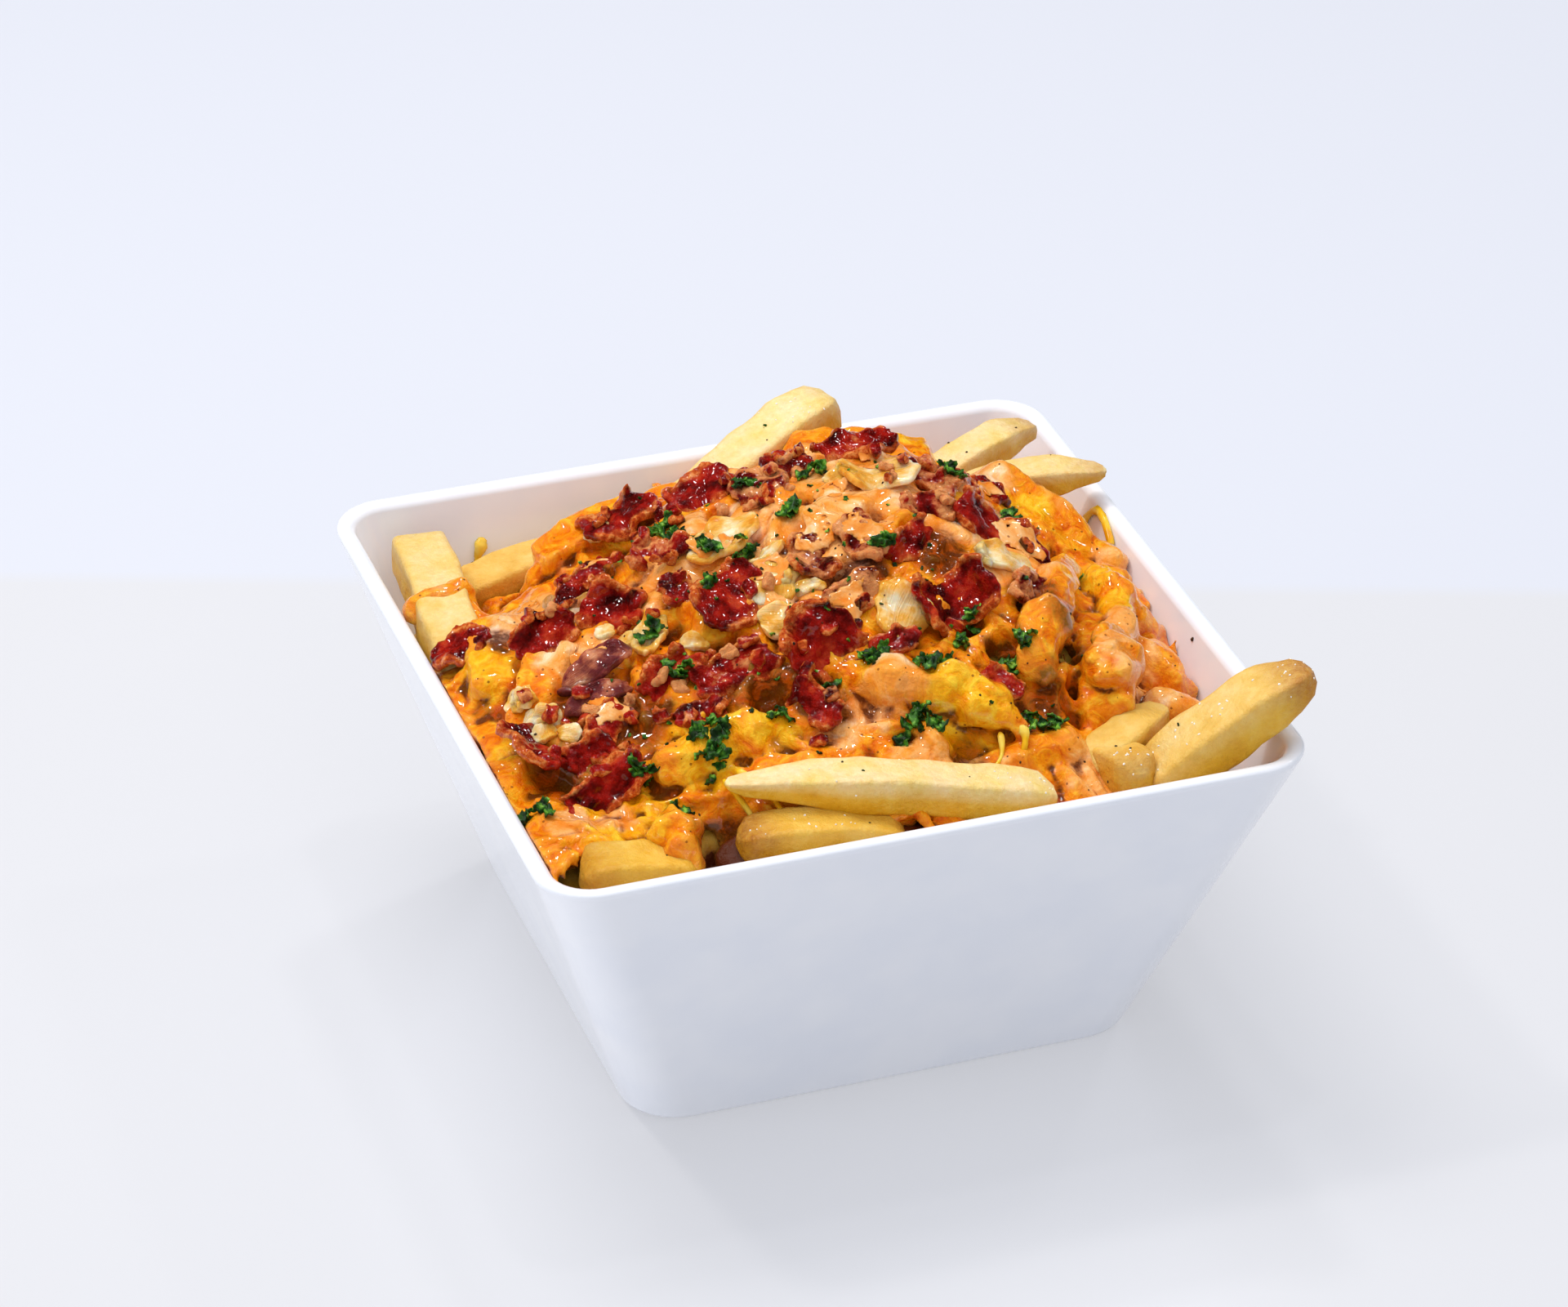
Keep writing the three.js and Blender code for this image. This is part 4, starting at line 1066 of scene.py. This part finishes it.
onionPieces = [
    {"at": (20, 13), "turn": -15, "long": 17, "wide": 13, "curl": 0.9, "ruffle": 1.1},
    {"at": (-15, 9), "turn": 10, "long": 17, "wide": 12, "curl": 0.5, "ruffle": 0.8},
    {"at": (-11, -9), "turn": 70, "bank": 12, "long": 13, "wide": 12, "curl": -0.9, "ruffle": 0.5},
    {"at": (11, -25), "turn": 55, "bank": 10, "long": 15, "wide": 12, "curl": 0.7, "ruffle": 1.2},
    {"at": (-12, -20), "turn": -30, "bank": 10, "long": 11, "wide": 8, "curl": 0.5, "ruffle": 0.8},
    {"at": (-36, -8), "turn": 60, "bank": 5, "long": 12, "wide": 7, "curl": 0.5, "ruffle": 0.4},
    {"at": (-49, -12), "turn": 5, "bank": 10, "long": 16, "wide": 7, "curl": -0.9, "ruffle": 0.5, "rise": 3,
     "browned": 1},
    {"at": (-51, -19.5), "turn": 0, "bank": 15, "long": 15, "wide": 6, "curl": -0.9, "ruffle": 0.4, "rise": 3,
     "browned": 1},
    {"at": (38, -13), "turn": -10, "bank": 5, "long": 15, "wide": 8, "curl": -0.5, "ruffle": 0.4},
    {"at": (-45, 12), "turn": 20, "bank": 5, "long": 10, "wide": 6, "curl": 0.3, "ruffle": 0.3,
     "browned": 0.5},
]

onion = {
    "cells": (14, 11),
    "thick": 1.5,
    "scraps": 22,
    "scrapLong": (4, 9),
    "scrapWide": (3, 6),
    "round": 0.42,
    "torn": 0.2,
    "crinkle": 1.9,
    "settle": 0.22,
    "lift": 0.1,
    "bubble": 0.2,
    "bubbleSize": 2,
}


def makeCookedOnion():
    # Onion fried soft: see-through layers with fine veins along them, some browned and purple
    material, tree, shader, spot = startMaterial("soft fried onion")
    chip = addNode(tree, "Attribute", attribute_name="chip")
    split = addNode(tree, "SeparateColor", {"Color": chip})
    patch = addNode(tree, "TexNoise", {"Vector": spot, "Scale": 190, "Detail": 4, "Roughness": 0.6})
    # veins run along the layer
    flat = addNode(tree, "TexCoord").outputs["UV"]
    drawnOut = addNode(tree, "VectorMath", {0: flat, 1: (1.5, 22, 1)}, operation="MULTIPLY")
    veins = addNode(tree, "TexNoise", {"Vector": drawnOut, "Scale": 1, "Detail": 3, "Distortion": 0.4})
    pale = setRamp(addNode(tree, "ValToRGB", {"Fac": patch}),
                   [(0.32, "#D4841C"), (0.45, "#EAAA46"), (0.56, "#F6C988"), (0.68, "#FDE9C6")])
    brown = setRamp(addNode(tree, "ValToRGB", {"Fac": patch}),
                    [(0.3, "#3A0E10"), (0.48, "#6E2C2C"), (0.6, "#A85E44"), (0.75, "#DDA276")])
    browned = addNode(tree, "MixRGB", {"Fac": split.outputs["Blue"], "Color1": pale, "Color2": brown})
    both = addNode(tree, "Math", {0: veins, 1: patch}, operation="ADD")
    ridge = addNode(tree, "Bump", {"Height": both, "Strength": 0.5, "Distance": 0.0008})
    setInputs(shader, {
        "Base Color": browned, "Roughness": 0.2, "IOR": 1.4, "Specular IOR Level": 0.25, "Normal": ridge,
        "Coat Weight": 0.7, "Coat Roughness": 0.06,
        "Subsurface Weight": 0.5, "Subsurface Radius": (0.0035, 0.002, 0.0008), "Subsurface Scale": 1,
    })
    return material


onionBlank = makeChipBlank("onionBlank", onion["cells"])
layers = [makeChip(onionBlank, f"layer{i}", layer, onion, skin) for i, layer in enumerate(onionPieces)]
# small scraps that have come off the layers, and pale ones by the left wall
rng = random.Random(5)
for i in range(onion["scraps"]):
    near = rng.choice([*onionPieces, {"at": (-60, -12)}, {"at": (-60, -20)}, {"at": (-42, 30)}])
    x, y = (c + rng.uniform(-9, 9) for c in near["at"])
    scrap = {
        "at": (x, y), "turn": rng.uniform(0, 180), "bank": rng.uniform(-30, 30),
        "long": rng.uniform(*onion["scrapLong"]), "wide": rng.uniform(*onion["scrapWide"]),
        "curl": rng.uniform(-1.2, 1.2), "ruffle": 0.3, "browned": near.get("browned", 0),
    }
    layers.append(makeChip(onionBlank, f"scrap{i}", scrap, onion, skin))
bpy.data.objects.remove(onionBlank)
onionPiece = finishChips("onionPieces", layers, onion)
onionPiece.data.materials.append(makeCookedOnion())
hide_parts(*[f"onion_{i + 1:02d}" for i in range(len(onionPieces))])
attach(onionPiece, "root")
print("onion", len(onionPiece.data.polygons) * 2)


# Thin sauce: poured in ribbons over the bits, it webs from one to the next

# as (x, y, radius)
ribbons = [
    (26, 20, 8), (4, 0, 7), (-9, -6, 6), (1, -22, 5), (11, -4, 6), (-18, 7, 6), (16, 40, 6), (46, 20, 5),
    (46, -4, 6), (-48, -8, 4), (-50, -25, 5), (-56, 20, 6), (60, -40, 6), (8, 12, 6), (-38, 24, 4),
]

pour = {"voxel": 0.9, "smooth": 6, "thick": 0.5, "round": 0.55, "edge": 0.5, "steep": 0.25, "stray": 5}


def makePour(forms, shape):
    sauce = joinAs("thinSauce", [copyOf(form, f"under{i}") for i, form in enumerate(forms)])
    finishModifier(sauce, "REMESH", mode="VOXEL", voxel_size=shape["voxel"] * mm)
    finishModifier(sauce, "SMOOTH", factor=0.6, iterations=shape["smooth"])
    sauce.data.update()
    # it stays where it was poured, on what faces up
    lost = []
    for vertex in sauce.data.vertices:
        field = fieldAt(ribbons, vertex.co.x / mm, vertex.co.y / mm, shape["stray"])
        lost.append(vertex.normal.z < shape["steep"] or field < shape["edge"])
    deleteVertices(sauce, lost)
    finishModifier(sauce, "SOLIDIFY", thickness=shape["thick"] * mm, offset=0.1)
    finishModifier(sauce, "REMESH", mode="VOXEL", voxel_size=shape["round"] * mm)
    finishModifier(sauce, "SMOOTH", factor=0.6, iterations=4)
    return sauce


def makeSauce():
    # Mayonnaise sauce with paprika, thin enough to let the colour under it through at its edges
    material, tree, shader, spot = startMaterial("pink paprika sauce")
    cream = addNode(tree, "TexNoise", {"Vector": spot, "Scale": 130, "Detail": 5, "Roughness": 0.65,
                                       "Distortion": 0.8})
    tone = setRamp(addNode(tree, "ValToRGB", {"Fac": cream}),
                   [(0.32, "#E4761A"), (0.45, "#F0943E"), (0.58, "#F8B470"), (0.7, "#FFDAB2")])
    spiced = addSpice(tree, spot, tone, 0.8, 0.2)
    ripple = addNode(tree, "TexNoise", {"Vector": spot, "Scale": 420, "Detail": 3})
    bump = addNode(tree, "Bump", {"Height": ripple, "Strength": 0.4, "Distance": 0.0012})
    setInputs(shader, {
        "Base Color": spiced, "Roughness": 0.18, "IOR": 1.45, "Specular IOR Level": 0.2, "Normal": bump,
        "Coat Weight": 0.9, "Coat Roughness": 0.04,
        "Subsurface Weight": 0.2, "Subsurface Radius": (0.002, 0.001, 0.0005), "Subsurface Scale": 1,
    })
    return material


thinSauce = makePour([cheese, baconPiece, onionPiece], pour)
keepInside(thinSauce)
coverWith(thinSauce, makeSauce())
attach(thinSauce, "root")
print("sauce", len(thinSauce.data.polygons) * 2)


# Parsley: curly leaf cut small, in clusters and single flecks

parsleyClusters = [
    # x, y, size across, leaflets
    (-24, 22, 6, 8), (-1, 8, 6, 7), (48, 8, 7, 9), (2, -37, 6, 6), (11, -42, 7, 7), (31, -38, 7, 8),
    (31, -52, 8, 7), (5, -52, 10, 12), (-35, -43, 7, 8), (-37, -48, 6, 6), (-71, -45, 7, 6),
    (-49, -43, 5, 5), (-22, 16, 4, 5), (9, 21, 5, 5), (-19, 6, 6, 5), (-12, 3, 4, 3), (-16, -3, 3, 2),
    (-36, -9, 4, 4), (-35, -22, 6, 6), (-24, -8, 3, 2), (-9, -22, 4, 3), (12, -10, 4, 4), (36, 14, 4, 4),
    (59, 2, 4, 3), (-10, -37, 4, 4), (26, -27, 4, 3), (-21, -43, 3, 3), (-45, -52, 4, 3), (-6, 23, 4, 3),
    (20, -34, 3, 2),
]

parsley = {
    "cells": (7, 6),
    "thick": 0.25,
    "leaf": (3.2, 5),
    "lift": (0.4, 1.5),
    "crowd": 1.3,
    "flecks": 110,
    "fleck": (0.7, 1.7),
    "reach": 66,
}


def makeLeaf(blank, name, x, y, size, rng, surface, lift):
    piece = copyOf(blank, name)
    turn = rng.uniform(0, 6.28)
    tilt = Euler((rng.uniform(-0.8, 0.8), rng.uniform(-0.8, 0.8), turn), "XYZ").to_matrix()
    seed = rng.uniform(0, 60)
    hit, normal = landOn(surface, x, y)
    base = hit / mm if hit else Vector((x, y, heapTop(x, y)))
    normal = normal if normal else Vector((0, 0, 1))
    for vertex in piece.data.vertices:
        u, v = vertex.co.x, vertex.co.y
        out = max(abs(u), abs(v))
        if out > 0:
            far = math.hypot(u, v)
            u, v = u * out / far, v * out / far
        lobe = 1 - 0.32 * out * (0.5 + 0.5 * math.cos(5 * math.atan2(v, u) + seed))
        lobe += 0.1 * wobble(u * 4, v * 4, seed)
        crisp = 0.22 * size * wobble(u * 2.2 + seed, v * 2.2, seed)
        local = tilt @ Vector((u * size / 2 * lobe, v * size / 2.9 * lobe,
                               crisp + 0.1 * size * (u * u - v * v)))
        vertex.co = (base + local + normal * lift) * mm
    return piece


def makeParsley():
    # Flat green leaf, matt on top and a little shiny where it is wet
    material, tree, shader, spot = startMaterial("chopped parsley")
    patch = addNode(tree, "TexNoise", {"Vector": spot, "Scale": 500, "Detail": 3})
    green = setRamp(addNode(tree, "ValToRGB", {"Fac": patch}),
                    [(0.36, "#0A2204"), (0.48, "#1A4408"), (0.58, "#3C7614"), (0.68, "#8ABC40")])
    vein = addNode(tree, "Bump", {"Height": patch, "Strength": 0.5, "Distance": 0.0003})
    setInputs(shader, {
        "Base Color": green, "Roughness": 0.4, "Normal": vein,
        "Subsurface Weight": 0.1, "Subsurface Radius": (0.0003, 0.0008, 0.0002), "Subsurface Scale": 1,
    })
    return material


top = surfaceOf(cheese, baconPiece, onionPiece, thinSauce, loaf)
leafBlank = makeChipBlank("leafBlank", parsley["cells"])
rng = random.Random(23)
leaves = []
for x, y, size, count in parsleyClusters:
    for i in range(round(count * parsley["crowd"])):
        spread, angle = size / 2 * math.sqrt(rng.random()), rng.uniform(0, 6.28)
        place = (x + spread * math.cos(angle), y + 0.7 * spread * math.sin(angle))
        across, lift = rng.uniform(*parsley["leaf"]), rng.uniform(*parsley["lift"])
        leaves.append(makeLeaf(leafBlank, f"leaf{len(leaves)}", *place, across, rng, top, lift))
for i in range(parsley["flecks"]):
    x, y = rng.gauss(0, 30), rng.gauss(-8, 28)
    if max(abs(x), abs(y)) < parsley["reach"]:
        across = rng.uniform(*parsley["fleck"])
        leaves.append(makeLeaf(leafBlank, f"leaf{len(leaves)}", x, y, across, rng, top, 0.15))
bpy.data.objects.remove(leafBlank)
parsleyPiece = joinAs("parsley", leaves)
finishModifier(parsleyPiece, "SOLIDIFY", thickness=parsley["thick"] * mm, offset=0)
coverWith(parsleyPiece, makeParsley())
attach(parsleyPiece, "root")
print("parsley", len(parsleyPiece.data.polygons) * 2)


# Strings of cheese, and grains of pepper and salt

strings = [
    {"path": [(20.5, -55.5, 80), (19.5, -59.5, 77.6), (16.5, -62.3, 76), (13, -64.5, 75)],
     "wide": [1.6, 1, 1, 1.6]},
    {"path": [(24, -54.5, 81), (25, -57.5, 80), (24, -59.8, 78), (22, -61.5, 76)],
     "wide": [3, 1.8, 1.2, 0.8]},
    {"path": [(-49.6, 69.6, 57), (-48.9, 70.2, 60), (-48.6, 71.2, 62.5), (-47.6, 72, 65), (-47, 72.2, 66.4)],
     "wide": [1, 1, 1.4, 2.8, 1.6]},
    {"path": [(-43, 69.6, 58.5), (-42, 70.4, 61), (-40.8, 71.2, 63.4)], "wide": [3, 2.4, 1.2]},
    {"path": [(-40.4, 69.6, 58.5), (-39.4, 70.4, 61), (-38.6, 71.2, 63)], "wide": [3, 2.2, 1.2]},
    {"path": [(-50, 69.4, 59), (-45, 69.6, 59.4), (-41, 69.8, 60), (-36, 69.8, 59.4)],
     "wide": [1.8, 1.6, 1.6, 1.8]},
    {"path": [(8.7, 76.5, 75.4), (8.1, 76.3, 76.4), (7.2, 76.2, 76.2)], "wide": [1.4, 1.8, 1]},
    {"path": [(5.2, 75.9, 74), (4.7, 75.7, 74.6), (4, 75.6, 74.3)], "wide": [0.8, 1, 0.8]},
    {"path": [(72.6, 31, 67.4), (74.2, 30.8, 71.6), (75.2, 28.4, 74.6), (75.4, 24, 74.9), (74.6, 18.4, 73),
              (74, 17, 71.6)], "wide": [1.8, 2, 2, 2, 2, 1.4]},
    {"path": [(-33, -52, 80), (-28, -58, 77), (-27, -64, 74)], "wide": [1.6, 1.3, 1]},
    {"path": [(-36, -53, 79), (-33, -60, 75), (-33, -66, 71)], "wide": [1.4, 1.1, 1]},
]


def makeStringCheese():
    # Cheddar drawn thin: clear yellow, shiny with its own fat
    material, tree, shader, spot = startMaterial("drawn cheddar strings")
    patch = addNode(tree, "TexNoise", {"Vector": spot, "Scale": 200, "Detail": 2})
    tone = setRamp(addNode(tree, "ValToRGB", {"Fac": patch}),
                   [(0.35, "#DE9A0A"), (0.5, "#EDB81E"), (0.65, "#F6D25A")])
    bump = addNode(tree, "Bump", {"Height": patch, "Strength": 0.3, "Distance": 0.0005})
    setInputs(shader, {
        "Base Color": tone, "Roughness": 0.22, "IOR": 1.46, "Normal": bump,
        "Subsurface Weight": 0.3, "Subsurface Radius": (0.002, 0.0014, 0.0004), "Subsurface Scale": 1,
    })
    return material


drawnThin = [makeStrand(f"string{i}", one["path"], one["wide"]) for i, one in enumerate(strings)]
stringPiece = joinAs("cheeseStrings", drawnThin)
keepInside(stringPiece)
coverWith(stringPiece, makeStringCheese())
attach(stringPiece, "root")
print("strings", len(stringPiece.data.polygons) * 2)

# bacon crumbs that have broken off, round the bits and over the back of the heap
crumbs = {
    "count": 88,
    "cells": (6, 5),
    "long": (2.2, 4.6),
    "wide": (1.6, 3),
    "from": 24,  # they come from the first so many bits
    "spread": 0.42,
    "back": [{"at": (14, 34), "long": 26}, {"at": (28, 32), "long": 20}, {"at": (-2, 34), "long": 20}],
    "reach": (68, 62),
}
crumbBlank = makeChipBlank("crumbBlank", crumbs["cells"])
wet = surfaceOf(cheese, baconPiece, onionPiece)
rng = random.Random(31)
crumbsMade = []
for i in range(crumbs["count"]):
    near = rng.choice([*baconBits[:crumbs["from"]], *crumbs["back"]])
    x, y = (c + rng.gauss(0, crumbs["spread"] * near["long"]) for c in near["at"])
    crumb = {
        "at": (x, y), "turn": rng.uniform(0, 180), "bank": rng.uniform(-40, 40),
        "long": rng.uniform(*crumbs["long"]), "wide": rng.uniform(*crumbs["wide"]),
        "curl": 0.3, "ruffle": 0.2, "coat": rng.choice((0, 0, 0.3, 0.6)),
    }
    if abs(x) < crumbs["reach"][0] and abs(y) < crumbs["reach"][1]:
        crumbsMade.append(makeChip(crumbBlank, f"crumb{i}", crumb, bacon, wet))
bpy.data.objects.remove(crumbBlank)
crumbPiece = finishChips("baconCrumbs", crumbsMade, bacon)
crumbPiece.data.materials.append(makeFriedBacon())
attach(crumbPiece, "root")
print("crumbs", len(crumbPiece.data.polygons) * 2)

grains = {
    "pepper": 130,
    "pepperSize": (0.22, 0.42),
    "pepperReach": 70,
    "onWall": (75.1, -24.3, 72.9),  # one big grain sticks to the right wall
    "wallSize": 0.6,
    "salt": 90,
    "saltSize": (0.25, 0.4),
    "saltAbove": 68,
}

# where salt lies thick on the fries, as (x, y, radius)
saltFields = [(78, -67, 8), (45, -65, 6), (22, -68, 9), (-20, -68, 7), (-40, -68, 6), (60, -66, 8),
              (20, 60, 8)]


def makeGrain(blank, name, place, size, rng):
    grain = copyOf(blank, name)
    turn = Euler([rng.uniform(0, 6.28) for _ in range(3)]).to_matrix()
    shape = Vector((1, rng.uniform(0.5, 0.9), rng.uniform(0.4, 0.8)))
    for vertex in grain.data.vertices:
        vertex.co = (place + turn @ (vertex.co * shape * size)) * mm
    return grain


def makeGrainSkin(name, light, dark, rough):
    material, tree, shader, spot = startMaterial(name)
    fleck = addNode(tree, "TexNoise", {"Vector": spot, "Scale": 900, "Detail": 1})
    tone = setRamp(addNode(tree, "ValToRGB", {"Fac": fleck}), [(0.4, dark), (0.6, light)])
    setInputs(shader, {"Base Color": tone, "Roughness": rough})
    return material


bpy.ops.mesh.primitive_ico_sphere_add(subdivisions=1, radius=1)
grainBlank = bpy.context.active_object
rng = random.Random(41)
pepper = [makeGrain(grainBlank, "pepperWall", Vector(grains["onWall"]), grains["wallSize"], rng)]
while len(pepper) < grains["pepper"]:
    x, y = (rng.uniform(-grains["pepperReach"], grains["pepperReach"]) for _ in range(2))
    hit, _ = landOn(top, x, y)
    if hit:
        size = rng.uniform(*grains["pepperSize"])
        pepper.append(makeGrain(grainBlank, f"pepper{len(pepper)}", hit / mm, size, rng))
salt = []
bare = surfaceOf(loaf)
while len(salt) < grains["salt"]:
    fx, fy, radius = rng.choice(saltFields)
    x, y = rng.gauss(fx, radius / 2), rng.gauss(fy, radius / 2)
    hit, _ = landOn(bare, x, y)
    if hit and hit.z / mm > grains["saltAbove"]:
        size = rng.uniform(*grains["saltSize"])
        salt.append(makeGrain(grainBlank, f"salt{len(salt)}", hit / mm, size, rng))
bpy.data.objects.remove(grainBlank)
for name, made, slot, skinMade in (
        ("pepperGrains", pepper, "onion", makeGrainSkin("cracked black pepper", "#4A3018", "#1A0E06", 0.5)),
        ("saltGrains", salt, "potato", makeGrainSkin("coarse salt", "#FFFDF6", "#F2E6CC", 0.25))):
    whole = joinAs(name, made)
    whole.data.materials.append(skinMade)
    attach(whole, "root")
print("grains", len(pepper), len(salt))


# Table, light and camera

studio = {
    "camera": (-0.3422, -0.9413, 0.6795),
    "look": (0.28826, 0.80419, -0.51982),
    "roll": 0.57,
    "lens": 131.87,
    "table": 3.0,
    "tableEnd": 0.146,
}


def makeTable(setup):
    bpy.ops.mesh.primitive_plane_add(size=2 * setup["table"])
    table = bpy.context.active_object
    table.name = table.data.name = "table"
    bpy.ops.object.mode_set(mode="EDIT")
    bpy.ops.mesh.subdivide(number_cuts=3)
    bpy.ops.object.mode_set(mode="OBJECT")
    # White acrylic with a painted glow, painted light that keeps the shadows on it pale, with a pale blue
    # backdrop beyond it
    material, tree, shader, spot = startMaterial("white acrylic table with painted glow")
    ahead = Vector((setup["look"][0], setup["look"][1], 0)).normalized()
    reach = addNode(tree, "VectorMath", {0: spot, 1: ahead}, operation="DOT_PRODUCT")
    near, far = setup["tableEnd"] - 0.003, setup["tableEnd"] + 0.003
    beyond = addNode(tree, "MapRange", {"Value": reach.outputs["Value"], "From Min": near, "From Max": far})
    tone = addNode(tree, "MixRGB", {"Fac": beyond, "Color1": linear("#A9A9AC"), "Color2": linear("#A9ACB6")})
    setInputs(shader, {
        "Base Color": tone, "Roughness": 0.28, "IOR": 1.4,
        "Emission Color": linear("#FAFBFF"), "Emission Strength": 0.35,
    })
    table.data.materials.append(material)


# big soft boxes, which what is wet doesn't mirror, and small strong ones for its crisp highlights
lights = [
    {"name": "softBox", "place": (-0.2, 0.5, 1.2), "power": 5.6, "size": (0.55, 0.55), "colour": "#FFFDFA"},
    {"name": "overheadBox", "place": (0.1, 0, 1.5), "power": 20, "size": (3, 3), "colour": "#F6F9FF"},
    {"name": "frontFill", "place": (-0.3, -1.2, 0.8), "power": 3.4, "size": (0.8, 0.8), "colour": "#F4F7FF",
     "aim": 0.06},
    {"name": "leftFill", "place": (-1.35, 0, 0.16), "power": 5, "size": (0.8, 0.3), "colour": "#F4F7FF"},
    {"name": "leftSpark", "place": (-0.55, 0.4, 1.05), "power": 2.3, "size": (0.1, 0.1), "colour": "#FFFBF4",
     "mirrored": True},
    {"name": "backSpark", "place": (0.25, 0.65, 1.0), "power": 1.4, "size": (0.1, 0.08), "mirrored": True},
    {"name": "topSpark", "place": (0.1, 0.15, 1.3), "power": 0.9, "size": (0.08, 0.08), "mirrored": True},
    {"name": "rightSpark", "place": (0.75, 0.2, 0.9), "power": 0.6, "size": (0.08, 0.08), "mirrored": True},
]


def addLight(box):
    data = bpy.data.lights.new(box["name"], "AREA")
    data.energy = box["power"]
    data.color = linear(box.get("colour", "#FFFFFF"))[:3]
    data.shape = "RECTANGLE"
    data.size, data.size_y = box["size"]
    light = bpy.data.objects.new(box["name"], data)
    light.location = box["place"]
    aim = Vector((0, 0, box.get("aim", 0.05)))
    light.rotation_euler = (aim - Vector(box["place"])).to_track_quat("-Z", "Y").to_euler()
    light.visible_glossy = box.get("mirrored", False)
    bpy.context.scene.collection.objects.link(light)


makeTable(studio)
for box in lights:
    addLight(box)

world = bpy.data.worlds.new("studio")
world.use_nodes = True
sky = world.node_tree.nodes["Background"]
sky.inputs["Color"].default_value = linear("#EEF1FA")
sky.inputs["Strength"].default_value = 0.4
world.cycles_visibility.glossy = False  # mirrored, it would lay a grey haze over what is wet
bpy.context.scene.world = world

lensData = bpy.data.cameras.new("camera")
lensData.lens = studio["lens"]
lensData.sensor_width = 36
lensData.clip_start = 0.05
camera = bpy.data.objects.new("camera", lensData)
camera.location = studio["camera"]
level = Vector(studio["look"]).to_track_quat("-Z", "Y").to_matrix()
camera.rotation_euler = (level @ Matrix.Rotation(math.radians(studio["roll"]), 3, "Z")).to_euler()
bpy.context.scene.collection.objects.link(camera)
bpy.context.scene.camera = camera
bpy.context.scene.view_settings.view_transform = "Standard"
